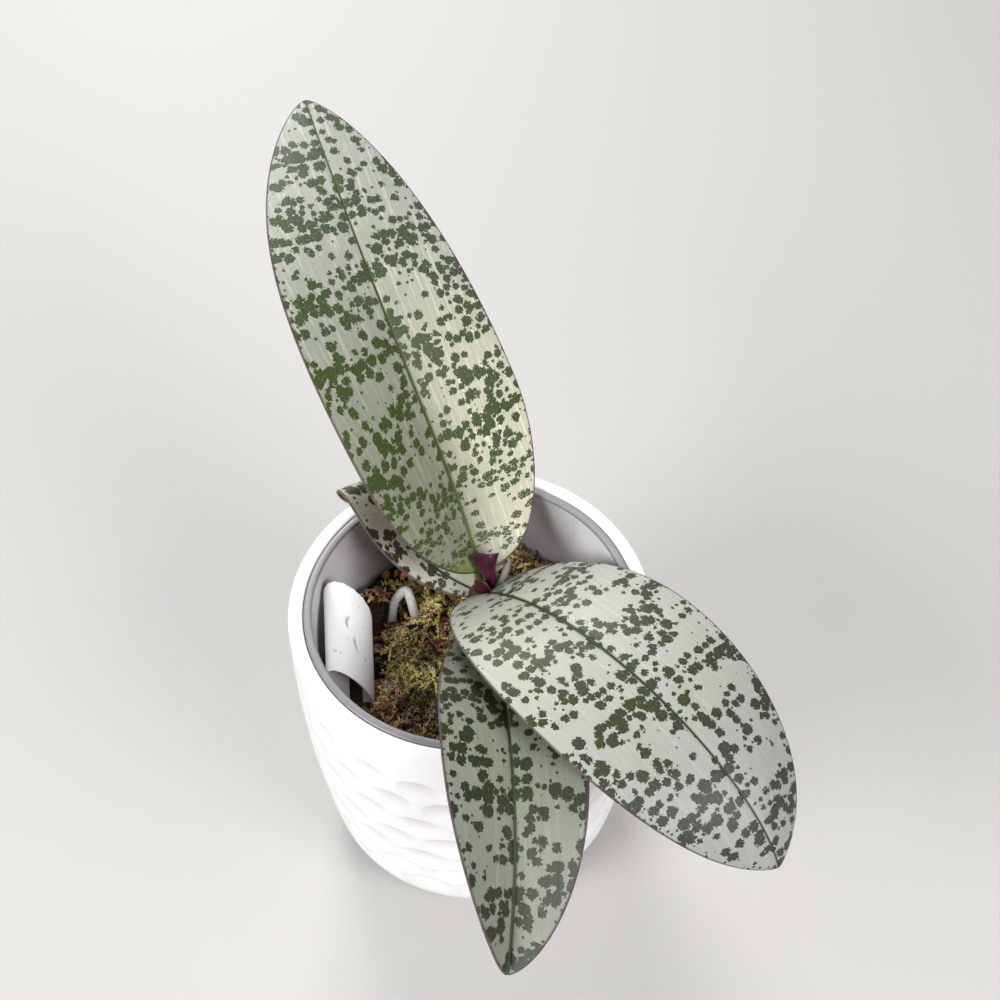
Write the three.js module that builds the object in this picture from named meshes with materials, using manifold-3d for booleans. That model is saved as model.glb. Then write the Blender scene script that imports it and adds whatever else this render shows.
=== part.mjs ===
// A potted schilleriana moth orchid: four mottled leaves and a folded young leaf on a short stem,
// rooted in bark and moss inside a grey liner pot that stands in a dimpled white ceramic pot.
// Millimetres, Z up, the pots' common axis on Z, the outer pot's flat base at Z = 0,
// and the plant's front on the -Y side.
import * as THREE from "three";
import { mergeVertices } from "three/addons/utils/BufferGeometryUtils.js";
import Module from "manifold-3d";

const wasm = await Module();
wasm.setup();

// clearance left between pieces that touch
const GAP = 0.3;

// outer ceramic pot
const POT_HEIGHT = 134.6;
const POT_TOP_R = 65.5;
const POT_MID_R = 65.2;
const POT_LOW_R = 57.8;
const POT_CORNER_R = 19.6;
const POT_WALL = 5.2;
const POT_FLOOR = 6;
const RIM_ROUND = 1.2;
const POT_COLUMNS = 60;

// hammered scoops pressed into its outside, in staggered rows
const DIMPLES_AROUND = 20;
const DIMPLE_ROWS = 7;
const DIMPLE_TOP_Z = 118;
const DIMPLE_PITCH = 14;
const DIMPLE_DEPTH = 1.4;
const DIMPLE_HALF_ANGLE = THREE.MathUtils.degToRad(7.6);
const DIMPLE_RISE = 0.14;
const DIMPLE_MIDDLE = 0.55;
const DIMPLE_FADE = 0.8;

// heights of the rings where the foot is rounded outside, and of the inside wall
const FOOT_LEVELS = [0, 1.5, 4.5, 9, 14];
const INSIDE_LEVELS = [67.3, 30, 18, 10];

// grey liner pot
const LINER_TOP_R = 60;
const LINER_LIP = 3;
const LINER_LIP_DEPTH = 5;
const LINER_WALL = 1.8;
const LINER_TAPER = 0.8;
const LINER_TAPER_SPAN = 34.6;
const LINER_FLOOR = 2;
const LINER_CHAMFER = 4;
const LINER_COLUMNS = 44;
const LIP_BEVEL_OUT = [0.8, 0.6];
const LIP_BEVEL_IN = [0.6, 0.7];
const LIP_SLOPE = 1.5;

// growing mix of bark and long-fibre moss
const MIX_EDGE_Z = 98;
const MIX_CROWN = 6;
const MIX_BUMP = 1.3;
const MIX_WAVES = [0.21, 0.17, 0.11, 0.26];
const MIX_PHASE = 1.3;
const MIX_RINGS = 10;
const MIX_SECTORS = 36;
const MIX_SIDE_R = 55.2;
const CHIP_COUNT = 26;
const CHIP_LONG = [5, 10];
const CHIP_WIDE = [3, 6];
const CHIP_TALL = [1.6, 3.2];
const CHIP_TILT = 0.7;
const CHIP_SEED = 7;

// stem
const STEM = new THREE.Vector3(6, 14, 0);
const STEM_PROFILE = [
  [3.5, 84],
  [5.5, 88],
  [6.6, 98],
  [7.2, 108],
  [7.4, 115],
  [6.6, 120],
  [5.2, 123],
  [2.6, 124.6],
];

// blade thickness at the midrib and at the margin, and the groove along the midrib
const BLADE_MID = 2.2;
const BLADE_EDGE = 0.9;
const GROOVE = 0.4;
const FLAT_BOW = 0.001;
const ACROSS = [-1, -0.7, -0.4, -0.07, 0, 0.07, 0.4, 0.7, 1];
const ALONG = 16;
const SMALL_ACROSS = [-1, -0.5, 0, 0.5, 1];
const SMALL_ALONG = 6;
const LEAST_HALF_WIDTH = 0.7;
const LEAST_THICKNESS = 0.8;
const NARROW = 6;
const RIB_STEPS = 120;
const CURL_STEPS = 40;

function vec(x, y, z) {
  return new THREE.Vector3(x, y, z);
}

// repeatable random numbers from 0 to 1
const RANDOM_RANGE = 2 ** 32;
const RANDOM_FACTOR = 1664525;
const RANDOM_STEP = 1013904223;

function seeded(seed) {
  let state = seed;
  return function next() {
    state = (state * RANDOM_FACTOR + RANDOM_STEP) % RANDOM_RANGE;
    return state / RANDOM_RANGE;
  };
}

function between(random, [low, high]) {
  return low + random() * (high - low);
}

// closed surface from points and triangles
function geometryOf(points, faces) {
  const geometry = new THREE.BufferGeometry();
  const flat = new Float32Array(points.length * 3);
  points.forEach((p, i) => p.toArray(flat, i * 3));
  geometry.setAttribute("position", new THREE.BufferAttribute(flat, 3));
  geometry.setIndex(faces);
  return geometry;
}

// solid for cutting and joining
function solidOf(geometry) {
  const bare = new THREE.BufferGeometry();
  bare.setAttribute("position", geometry.getAttribute("position"));
  if (geometry.index) bare.setIndex(geometry.index);
  const merged = mergeVertices(bare, 1e-3);
  return new wasm.Manifold(
    new wasm.Mesh({
      numProp: 3,
      vertProperties: new Float32Array(merged.attributes.position.array),
      triVerts: new Uint32Array(merged.index.array),
    }),
  );
}

// largest body of a cut solid, as geometry
function bodyOf(solid) {
  const bodies = solid.decompose();
  bodies.sort((a, b) => b.volume() - a.volume());
  const mesh = bodies[0].getMesh();
  const geometry = new THREE.BufferGeometry();
  geometry.setAttribute("position", new THREE.BufferAttribute(mesh.vertProperties, 3));
  geometry.setIndex(new THREE.BufferAttribute(mesh.triVerts, 1));
  geometry.computeVertexNormals();
  return geometry;
}

// band of triangles between two closed loops of n points, a below b when seen from outside
function bandBetween(faces, a, b, n) {
  for (let i = 0; i < n; i++) {
    const j = (i + 1) % n;
    faces.push(a + i, a + j, b + i);
    faces.push(a + j, b + j, b + i);
  }
}

// body radius of the ceramic pot before its lower edge is rounded
function bodyRadius(z) {
  const t = z / POT_HEIGHT;
  const low = POT_LOW_R * (1 - t) * (1 - 2 * t);
  const mid = POT_MID_R * 4 * t * (1 - t);
  const top = POT_TOP_R * t * (2 * t - 1);
  return low + mid + top;
}

function outerRadius(z) {
  if (z >= POT_CORNER_R) return bodyRadius(z);
  const drop = POT_CORNER_R - z;
  return bodyRadius(z) - POT_CORNER_R + Math.sqrt(POT_CORNER_R ** 2 - drop ** 2);
}

// depth of one scoop: crisp at its upper edge, fading out downwards and sideways
function dimpleDepth(angle, z) {
  const row = Math.floor((DIMPLE_TOP_Z - z) / DIMPLE_PITCH);
  if (row < 0 || row >= DIMPLE_ROWS) return 0;
  const down = (DIMPLE_TOP_Z - z - row * DIMPLE_PITCH) / DIMPLE_PITCH;
  const pitch = (2 * Math.PI) / DIMPLES_AROUND;
  const shifted = angle / pitch + (row % 2) / 2;
  const across = ((shifted - Math.round(shifted)) * pitch) / DIMPLE_HALF_ANGLE;
  const width = Math.max(1 - across ** 2, 0);
  const rise = Math.min(down / DIMPLE_RISE, 1);
  const fade = Math.max(1 - Math.max(down - DIMPLE_RISE, 0) / DIMPLE_FADE, 0);
  return DIMPLE_DEPTH * width * rise * fade;
}

function outerPot() {
  const levels = [...FOOT_LEVELS, DIMPLE_TOP_Z - DIMPLE_ROWS * DIMPLE_PITCH];
  for (let row = DIMPLE_ROWS - 1; row >= 0; row--) {
    const top = DIMPLE_TOP_Z - row * DIMPLE_PITCH;
    levels.push(top - DIMPLE_PITCH * DIMPLE_MIDDLE, top - DIMPLE_PITCH * DIMPLE_RISE, top);
  }
  levels.push(POT_HEIGHT - RIM_ROUND);
  const points = [];
  const faces = [];
  const starts = [];
  function loop(radiusAt, z) {
    starts.push(points.length);
    for (let i = 0; i < POT_COLUMNS; i++) {
      const a = (i / POT_COLUMNS) * 2 * Math.PI;
      const r = radiusAt(a);
      points.push(vec(r * Math.cos(a), r * Math.sin(a), z));
    }
  }
  for (const z of levels) loop((a) => outerRadius(z) - dimpleDepth(a, z), z);
  const inside = LINER_TOP_R + GAP;
  loop(() => POT_TOP_R - RIM_ROUND, POT_HEIGHT);
  loop(() => inside, POT_HEIGHT);
  for (const z of INSIDE_LEVELS) {
    loop(() => Math.min(inside, outerRadius(z) - POT_WALL), z);
  }
  loop(() => outerRadius(POT_FLOOR) - POT_WALL - 1, POT_FLOOR);
  for (let k = 0; k + 1 < starts.length; k++) {
    bandBetween(faces, starts[k], starts[k + 1], POT_COLUMNS);
  }
  const under = points.push(vec(0, 0, 0)) - 1;
  const floor = points.push(vec(0, 0, POT_FLOOR)) - 1;
  const last = starts[starts.length - 1];
  for (let i = 0; i < POT_COLUMNS; i++) {
    const j = (i + 1) % POT_COLUMNS;
    faces.push(under, j, i);
    faces.push(floor, last + i, last + j);
  }
  return geometryOf(points, faces);
}

// inside radius of the liner pot
function linerInside(z) {
  const down = (POT_HEIGHT - z) / LINER_TAPER_SPAN;
  return LINER_TOP_R - LINER_LIP - LINER_TAPER * down ** 2;
}

function linerPot() {
  const foot = POT_FLOOR + GAP;
  const bed = foot + LINER_FLOOR;
  const lipZ = POT_HEIGHT - LINER_LIP_DEPTH;
  const profile = [[0, foot]];
  profile.push([linerInside(foot) + LINER_WALL - LINER_CHAMFER, foot]);
  for (const z of [foot + LINER_CHAMFER, 40, 80, lipZ - LIP_SLOPE]) {
    profile.push([linerInside(z) + LINER_WALL, z]);
  }
  profile.push([LINER_TOP_R, lipZ]);
  profile.push([LINER_TOP_R, POT_HEIGHT - LIP_BEVEL_OUT[1]]);
  profile.push([LINER_TOP_R - LIP_BEVEL_OUT[0], POT_HEIGHT]);
  profile.push([LINER_TOP_R - LINER_LIP + LIP_BEVEL_IN[0], POT_HEIGHT]);
  profile.push([LINER_TOP_R - LINER_LIP, POT_HEIGHT - LIP_BEVEL_IN[1]]);
  for (const z of [108, 80, 40, bed + LINER_CHAMFER]) profile.push([linerInside(z), z]);
  profile.push([linerInside(bed) - LINER_CHAMFER, bed]);
  profile.push([0, bed]);
  return lathe(profile, LINER_COLUMNS);
}

// turned solid about Z from a profile that starts and ends on the axis, outside going up
function lathe(profile, columns) {
  const points = [];
  const faces = [];
  const first = points.push(vec(0, 0, profile[0][1])) - 1;
  const end = points.push(vec(0, 0, profile[profile.length - 1][1])) - 1;
  const inner = profile.slice(1, -1);
  const starts = [];
  for (const [r, z] of inner) {
    starts.push(points.length);
    for (let i = 0; i < columns; i++) {
      const a = (i / columns) * 2 * Math.PI;
      points.push(vec(r * Math.cos(a), r * Math.sin(a), z));
    }
  }
  for (let k = 0; k + 1 < starts.length; k++) {
    bandBetween(faces, starts[k], starts[k + 1], columns);
  }
  const last = starts[starts.length - 1];
  for (let i = 0; i < columns; i++) {
    const j = (i + 1) % columns;
    faces.push(first, starts[0] + j, starts[0] + i);
    faces.push(end, last + i, last + j);
  }
  return geometryOf(points, faces);
}

// height of the mix: a low mound with uneven lumps
function mixHeight(x, y) {
  const out = Math.hypot(x, y) / MIX_SIDE_R;
  const [a, b, c, d] = MIX_WAVES;
  const lumps = Math.sin(x * a + MIX_PHASE) * Math.cos(y * b) + Math.sin(x * c - y * d);
  return MIX_EDGE_Z + MIX_CROWN * (1 - out ** 2) + MIX_BUMP * lumps;
}

function gridPoint(ring, sector, lift) {
  const r = (MIX_SIDE_R * ring) / MIX_RINGS;
  const a = (sector / MIX_SECTORS) * 2 * Math.PI;
  const x = r * Math.cos(a);
  const y = r * Math.sin(a);
  return vec(x, y, mixHeight(x, y) + lift);
}

function mixCore() {
  const points = [gridPoint(0, 0, 0)];
  const faces = [];
  for (let ring = 1; ring <= MIX_RINGS; ring++) {
    for (let s = 0; s < MIX_SECTORS; s++) points.push(gridPoint(ring, s, 0));
  }
  for (let s = 0; s < MIX_SECTORS; s++) {
    faces.push(0, 1 + s, 1 + ((s + 1) % MIX_SECTORS));
  }
  for (let ring = 1; ring < MIX_RINGS; ring++) {
    const a = 1 + (ring - 1) * MIX_SECTORS;
    bandBetween(faces, a + MIX_SECTORS, a, MIX_SECTORS);
  }
  let loop = 1 + (MIX_RINGS - 1) * MIX_SECTORS;
  const bed = POT_FLOOR + LINER_FLOOR + 2 * GAP;
  for (const z of [80, 40, bed + LINER_CHAMFER, bed]) {
    const r = linerInside(z) - 2 * GAP - (z === bed ? LINER_CHAMFER : 0);
    const next = points.length;
    for (let s = 0; s < MIX_SECTORS; s++) {
      const a = (s / MIX_SECTORS) * 2 * Math.PI;
      points.push(vec(r * Math.cos(a), r * Math.sin(a), z));
    }
    bandBetween(faces, next, loop, MIX_SECTORS);
    loop = next;
  }
  const under = points.push(vec(0, 0, bed)) - 1;
  for (let s = 0; s < MIX_SECTORS; s++) {
    faces.push(under, loop + ((s + 1) % MIX_SECTORS), loop + s);
  }
  return geometryOf(points, faces);
}

// moss patches as ranges of the mix grid: rings, then sectors counted from +X towards +Y
const MOSS_LEFT = { rings: [3, 6], sectors: [15, 24], seed: 11, strands: 16 };
const MOSS_FRONT = { rings: [4, 9], sectors: [25, 32], seed: 23, strands: 18 };
const MOSS_RIGHT = { rings: [6, 9], sectors: [-3, 7], seed: 37, strands: 18 };
const MOSS_BACK = { rings: [6, 9], sectors: [9, 12], seed: 51, strands: 10 };
const MOSS_PAD = 1.8;
const STRAND_INSET = 0.4;
const STRAND_REACH = [1, 3.4];
const STRAND_RISE = [2.2, 4.4];
const STRAND_HOOK = 0.8;
const STRAND_DROP = 0.3;
const STRAND_RADII = [0.8, 0.65, 0.45];
const STRAND_SIDES = 3;

// whether a place on the mix lies within reach of a moss patch
function nearPatch(patch, place, reach) {
  for (let ring = patch.rings[0]; ring <= patch.rings[1]; ring++) {
    for (let s = patch.sectors[0]; s <= patch.sectors[1]; s += 0.5) {
      if (gridPoint(ring, s, 0).distanceTo(place) < reach) return true;
    }
  }
  return false;
}

// pad that follows the mix 0.3 mm above it, with bent strands growing out of it
function mossPatch(patch) {
  const points = [];
  const faces = [];
  const [r0, r1] = patch.rings;
  const [s0, s1] = patch.sectors;
  const rows = r1 - r0 + 1;
  const cols = s1 - s0 + 1;
  for (const lift of [GAP, GAP + MOSS_PAD]) {
    for (let ring = r0; ring <= r1; ring++) {
      for (let s = s0; s <= s1; s++) points.push(gridPoint(ring, s, lift));
    }
  }
  const top = rows * cols;
  for (let i = 0; i + 1 < rows; i++) {
    for (let j = 0; j + 1 < cols; j++) {
      const a = i * cols + j;
      const b = a + cols;
      faces.push(a, a + 1, b + 1, a, b + 1, b);
      faces.push(top + a, top + b + 1, top + a + 1, top + a, top + b, top + b + 1);
    }
  }
  const rim = [];
  for (let j = 0; j < cols; j++) rim.push(j);
  for (let i = 1; i < rows; i++) rim.push(i * cols + cols - 1);
  for (let j = cols - 2; j >= 0; j--) rim.push((rows - 1) * cols + j);
  for (let i = rows - 2; i > 0; i--) rim.push(i * cols);
  rim.forEach((a, k) => {
    const b = rim[(k + 1) % rim.length];
    faces.push(a, top + b, b, a, top + a, top + b);
  });
  const random = seeded(patch.seed);
  const solids = [solidOf(geometryOf(points, faces))];
  for (let n = 0; n < patch.strands; n++) {
    const ring = between(random, [r0 + STRAND_INSET, r1 - STRAND_INSET]);
    const sector = between(random, [s0 + STRAND_INSET, s1 - STRAND_INSET]);
    const foot = gridPoint(ring, sector, GAP + MOSS_PAD * STRAND_INSET);
    const turn = random() * 2 * Math.PI;
    const reach = between(random, STRAND_REACH);
    const rise = between(random, STRAND_RISE);
    const lean = vec(Math.cos(turn) * reach, Math.sin(turn) * reach, rise);
    const bent = turn + STRAND_HOOK;
    const hook = vec(Math.cos(bent) * reach, Math.sin(bent) * reach, -STRAND_DROP);
    const path = [foot, foot.clone().add(lean)];
    path.push(path[1].clone().add(hook));
    solids.push(solidOf(tube(path, STRAND_RADII, STRAND_SIDES)));
  }
  return wasm.Manifold.union(solids);
}

// round or few-sided rod through points, with flat closed ends
function tube(path, radii, sides) {
  const points = [];
  const faces = [];
  let side = vec(0, 0, 0);
  path.forEach((p, k) => {
    const before = path[Math.max(k - 1, 0)];
    const after = path[Math.min(k + 1, path.length - 1)];
    const along = after.clone().sub(before).normalize();
    if (k === 0) side = Math.abs(along.z) < 0.8 ? vec(0, 0, 1) : vec(1, 0, 0);
    side = side.clone().addScaledVector(along, -side.dot(along)).normalize();
    const other = along.clone().cross(side);
    for (let i = 0; i < sides; i++) {
      const a = (i / sides) * 2 * Math.PI;
      const q = p.clone().addScaledVector(side, radii[k] * Math.cos(a));
      points.push(q.addScaledVector(other, radii[k] * Math.sin(a)));
    }
  });
  for (let k = 0; k + 1 < path.length; k++) {
    bandBetween(faces, k * sides, (k + 1) * sides, sides);
  }
  const last = (path.length - 1) * sides;
  for (let i = 1; i + 1 < sides; i++) {
    faces.push(0, i + 1, i);
    faces.push(last, last + i, last + i + 1);
  }
  return geometryOf(points, faces);
}

function smoothPath(controls, steps) {
  return new THREE.CatmullRomCurve3(controls, false, "centripetal").getPoints(steps);
}

// bark chips, sunk half into the mix where no moss lies
function barkChips() {
  const random = seeded(CHIP_SEED);
  const chips = [];
  const patches = [MOSS_LEFT, MOSS_FRONT, MOSS_RIGHT, MOSS_BACK];
  while (chips.length < CHIP_COUNT) {
    const ring = MIX_RINGS * Math.sqrt(random());
    const sector = random() * MIX_SECTORS;
    const spin = random() * Math.PI;
    const tilt = (random() - 0.5) * CHIP_TILT;
    const long = between(random, CHIP_LONG);
    const wide = between(random, CHIP_WIDE);
    const tall = between(random, CHIP_TALL);
    const place = gridPoint(ring, sector, tall / 5);
    const reach = Math.hypot(long, wide) / 2 + 1;
    if (patches.some((patch) => nearPatch(patch, place, reach))) continue;
    if (Math.hypot(place.x, place.y) > MIX_SIDE_R - reach) continue;
    const box = new THREE.BoxGeometry(long, wide, tall);
    box.deleteAttribute("uv");
    box.deleteAttribute("normal");
    box.rotateY(tilt);
    box.rotateZ(spin);
    box.translate(place.x, place.y, place.z);
    chips.push(solidOf(box));
  }
  return chips;
}

// evenly measured path through dense points
function measured(points) {
  const lengths = [0];
  for (let i = 1; i < points.length; i++) {
    lengths.push(lengths[i - 1] + points[i].distanceTo(points[i - 1]));
  }
  const total = lengths[lengths.length - 1];
  return function at(s) {
    const want = THREE.MathUtils.clamp(s, 0, 1) * total;
    let i = 1;
    while (i < points.length - 1 && lengths[i] < want) i++;
    const part = (want - lengths[i - 1]) / (lengths[i] - lengths[i - 1]);
    return points[i - 1].clone().lerp(points[i], part);
  };
}

// midrib through four control points, with a rolled-under tip where one is asked for
function midrib(leaf) {
  const curve = new THREE.CubicBezierCurve3(...leaf.rib.map((p) => vec(...p)));
  const points = curve.getPoints(RIB_STEPS);
  if (leaf.curl) {
    const ahead = curve.getTangent(1).normalize();
    const side = vec(Math.cos(leaf.heading), -Math.sin(leaf.heading), 0);
    const step = leaf.curl.length / CURL_STEPS;
    for (let i = 0; i < CURL_STEPS; i++) {
      const radius = leaf.curl.from + ((leaf.curl.to - leaf.curl.from) * i) / CURL_STEPS;
      ahead.applyAxisAngle(side, -step / radius);
      points.push(points[points.length - 1].clone().addScaledVector(ahead, step));
    }
  }
  return points;
}

// half width of a blade as a share of its widest, from base to tip
function outline(leaf, s) {
  const start = leaf.start ?? 0;
  if (s < leaf.widest) {
    const reached = Math.max((s - start) / (leaf.widest - start), 0);
    const rise = Math.max(1 - (1 - reached) ** 2, 0);
    return leaf.neck + (1 - leaf.neck) * rise ** leaf.basePower;
  }
  const fall = Math.max(1 - ((s - leaf.widest) / (1 - leaf.widest)) ** 2, 0);
  return fall ** leaf.tipPower;
}

// least half width on the right, where the base of a blade wraps round the stem as a collar
function collar(leaf, s) {
  if (!leaf.collar || s > leaf.widest) return 0;
  const wrapped = Math.max(s - leaf.collar.from, 0) * leaf.collar.slope;
  return leaf.halfWidth * Math.min(wrapped, leaf.collar.top);
}

// blade: a channelled, gently twisting surface given its thickness below
function blade(leaf, grow = 0) {
  const at = measured(midrib(leaf));
  const points = [];
  const below = [];
  const columns = leaf.small ? SMALL_ACROSS : ACROSS;
  const rows = leaf.small ? SMALL_ALONG : ALONG;
  const sideways = vec(Math.cos(leaf.heading), -Math.sin(leaf.heading), 0);
  for (let i = 0; i <= rows; i++) {
    const s = 1 - (1 - i / rows) ** 1.3;
    const here = at(s);
    const along = at(s + 0.004).sub(at(s - 0.004)).normalize();
    const side = sideways.clone().addScaledVector(along, -sideways.dot(along)).normalize();
    const up = side.clone().cross(along);
    const roll = leaf.roll[0] + (leaf.roll[1] - leaf.roll[0]) * s;
    side.applyAxisAngle(along, -roll);
    up.applyAxisAngle(along, -roll);
    const plain = Math.max(leaf.halfWidth * outline(leaf, s), LEAST_HALF_WIDTH);
    const rise = leaf.channel[0] + (leaf.channel[1] - leaf.channel[0]) * s;
    const bend = leaf.bow[0] + (leaf.bow[1] - leaf.bow[0]) * s || FLAT_BOW;
    for (const v of columns) {
      const share = Math.abs(v);
      const hand = Math.sign(v);
      const w = (v > 0 ? Math.max(plain, collar(leaf, s)) : plain) + grow;
      const turned = rise - bend * share;
      const out = (w * (Math.sin(rise) - Math.sin(turned))) / bend;
      const lift = (w * (Math.cos(turned) - Math.cos(rise))) / bend;
      const normal = up.clone().multiplyScalar(Math.cos(turned));
      normal.addScaledVector(side, -hand * Math.sin(turned));
      const p = here.clone().addScaledVector(side, hand * out).addScaledVector(up, lift);
      const slim = Math.min(w / NARROW, 1);
      const mid = (leaf.thick ?? BLADE_MID) * (0.45 + 0.55 * slim);
      const thick = BLADE_EDGE + (mid - BLADE_EDGE) * (1 - share ** 1.5);
      const groove = v === 0 ? GROOVE * slim : 0;
      points.push(p.clone().addScaledVector(normal, grow - groove));
      const under = Math.max(thick, LEAST_THICKNESS) + grow;
      below.push(p.clone().addScaledVector(normal, -under));
    }
  }
  const n = columns.length;
  const top = points.length;
  points.push(...below);
  const faces = [];
  for (let i = 0; i < rows; i++) {
    for (let j = 0; j + 1 < n; j++) {
      const a = i * n + j;
      const b = a + n;
      faces.push(a, a + 1, b + 1, a, b + 1, b);
      faces.push(top + a, top + b + 1, top + a + 1, top + a, top + b, top + b + 1);
    }
  }
  const rim = [];
  for (let j = 0; j < n; j++) rim.push(j);
  for (let i = 1; i <= rows; i++) rim.push(i * n + n - 1);
  for (let j = n - 2; j >= 0; j--) rim.push(rows * n + j);
  for (let i = rows - 1; i > 0; i--) rim.push(i * n);
  rim.forEach((a, k) => {
    const b = rim[(k + 1) % rim.length];
    faces.push(a, top + b, b, a, top + a, top + b);
  });
  return solidOf(geometryOf(points, faces));
}

// leaves: midrib controls, heading from +Y towards +X, and blade shape
const UPPER_LEAF = {
  rib: [[5.9, 17, 122.4], [-4.7, 55.6, 148.7], [-19.2, 37, 213.9], [-53.6, 152.2, 242.3]],
  heading: -0.979,
  halfWidth: 40.3,
  start: 0.029,
  collar: { from: 0.004, slope: 12, top: 0.25 },
  widest: 0.327,
  basePower: 0.502,
  tipPower: 0.623,
  neck: 0.09,
  roll: [0.072, 0.163],
  channel: [0.461, -0.089],
  bow: [0.186, 0.284],
};
const BACK_LEAF = {
  rib: [[3.7, 17.6, 117.9], [-24.7, 29.4, 122.7], [-31, 38, 149], [-38.3, 46.1, 149.5]],
  curl: { length: 15, from: 3.4, to: 2.4 },
  heading: -0.81,
  halfWidth: 12.9,
  widest: 0.504,
  basePower: 0.545,
  tipPower: 0.5,
  neck: 0.223,
  roll: [-0.308, -0.21],
  channel: [0.3, 0.02],
  bow: [0.2, 0.05],
  thick: 1.4,
};
const RIGHT_LEAF = {
  rib: [[4.5, 12.8, 123.4], [31.4, -13.1, 163], [86.9, -86, 161.4], [99.7, -96.3, 112]],
  heading: 2.564,
  halfWidth: 39.1,
  widest: 0.424,
  basePower: 0.471,
  tipPower: 0.637,
  neck: 0.03,
  roll: [0.081, -0.014],
  channel: [0.188, -0.062],
  bow: [0.261, 0.403],
};
const FRONT_LEAF = {
  rib: [[8.6, 8.8, 118.5], [9.9, -53.4, 152.1], [16.5, -81, 143.2], [8, -127.2, 105.6]],
  heading: 3.386,
  halfWidth: 25.3,
  start: 0.038,
  widest: 0.554,
  basePower: 0.758,
  tipPower: 0.693,
  neck: 0.226,
  roll: [-0.194, 0.459],
  channel: [0.019, 0.593],
  bow: [0.232, -0.218],
};
const YOUNG_LEAF = {
  small: true,
  rib: [[8.6, 12.7, 125], [9.9, 13.1, 128], [7.6, 15.3, 135.6], [8.1, 18.4, 139.4]],
  heading: 2.846,
  halfWidth: 7.4,
  widest: 0.83,
  basePower: 1.297,
  tipPower: 0.35,
  neck: 0.112,
  roll: [-0.055, 0.016],
  channel: [1.435, 0.882],
  bow: [0.2, 0.1],
  thick: 1.3,
};
const CROWN_SHEATH = {
  small: true,
  rib: [[7.2, 10.4, 122.8], [3.9, 9.7, 124.4], [5.2, 10.6, 128.2], [2.8, 13.1, 131.8]],
  heading: 3.547,
  halfWidth: 3.9,
  widest: 0.402,
  basePower: 0.489,
  tipPower: 0.684,
  neck: 0.58,
  roll: [-0.08, 0.221],
  channel: [0.704, 0.601],
  bow: [0.3, 0.3],
  thick: 1.1,
};
const SIDE_BRACT = {
  small: true,
  rib: [[11.2, 14.6, 122.5], [12.6, 15.4, 127], [14.2, 17.4, 131], [15.4, 20, 134.5]],
  heading: 2.5,
  halfWidth: 1.9,
  widest: 0.5,
  basePower: 0.5,
  tipPower: 0.9,
  neck: 0.6,
  roll: [0, 0],
  channel: [0.4, 0.3],
  bow: [0.2, 0.2],
  thick: 1,
};

// roots: from the stem down into the mix, one of them looping out of it at the back left
const ROOT_R = 2.1;
const ROOTS = {
  root_loop: [
    [1, 17, 101], [-9, 18, 95], [-18, 16, 96], [-21.5, 19, 105.5], [-24, 25.5, 109],
    [-28.5, 24, 105], [-30, 18, 98], [-30, 14, 90],
  ],
  root_left: [[0.5, 11, 108], [-5, 7, 107], [-10, 3, 98], [-13, 0, 84]],
  root_front: [[9, 7, 110], [12, 1, 109], [17, -6, 99], [20, -12, 84]],
  root_right: [[12.5, 16, 107], [19, 18, 107], [27, 19, 98], [33, 19, 84]],
};
const ROOT_SIDES = 8;
const ROOT_STEPS = 20;
const ROOT_TAPER = 0.25;
const STEM_COLUMNS = 20;

function root(controls, grow) {
  const path = smoothPath(controls.map((p) => vec(...p)), ROOT_STEPS);
  const radii = path.map((p, k) => ROOT_R * (1 - (ROOT_TAPER * k) / ROOT_STEPS) + grow);
  return solidOf(tube(path, radii, ROOT_SIDES));
}

function stem(grow) {
  const low = STEM_PROFILE[0][1] - grow;
  const high = STEM_PROFILE[STEM_PROFILE.length - 1][1] + grow;
  const rings = STEM_PROFILE.map(([r, z], k) => {
    if (k === 0) return [r + grow, low];
    return [r + grow, k === STEM_PROFILE.length - 1 ? high : z];
  });
  const geometry = lathe([[0, low], ...rings, [0, high]], STEM_COLUMNS);
  geometry.translate(STEM.x, STEM.y, 0);
  return solidOf(geometry);
}

// plant label: a plastic strip rolled into a flattened tube, open at the near end
const LABEL_NEAR = vec(-44.9, -18.2, 108.4);
const LABEL_FAR = vec(-45.6, 11, 119.7);
const LABEL_HALF = [10.4, 5.2];
const LABEL_LEAN = THREE.MathUtils.degToRad(-38.5);
const LABEL_SHEET = 0.9;
const LABEL_SLANT = [0.183, 0.194];
const LABEL_RAKE = [-0.067, -0.18];
const LABEL_TONGUE = 0.14;
const LABEL_STEPS = 22;
const LABEL_STATIONS = [0, 0.33, 0.66, 1];
const LABEL_SPIRAL = 0.09;
const LABEL_TURN = [THREE.MathUtils.degToRad(-40), THREE.MathUtils.degToRad(285)];

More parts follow.
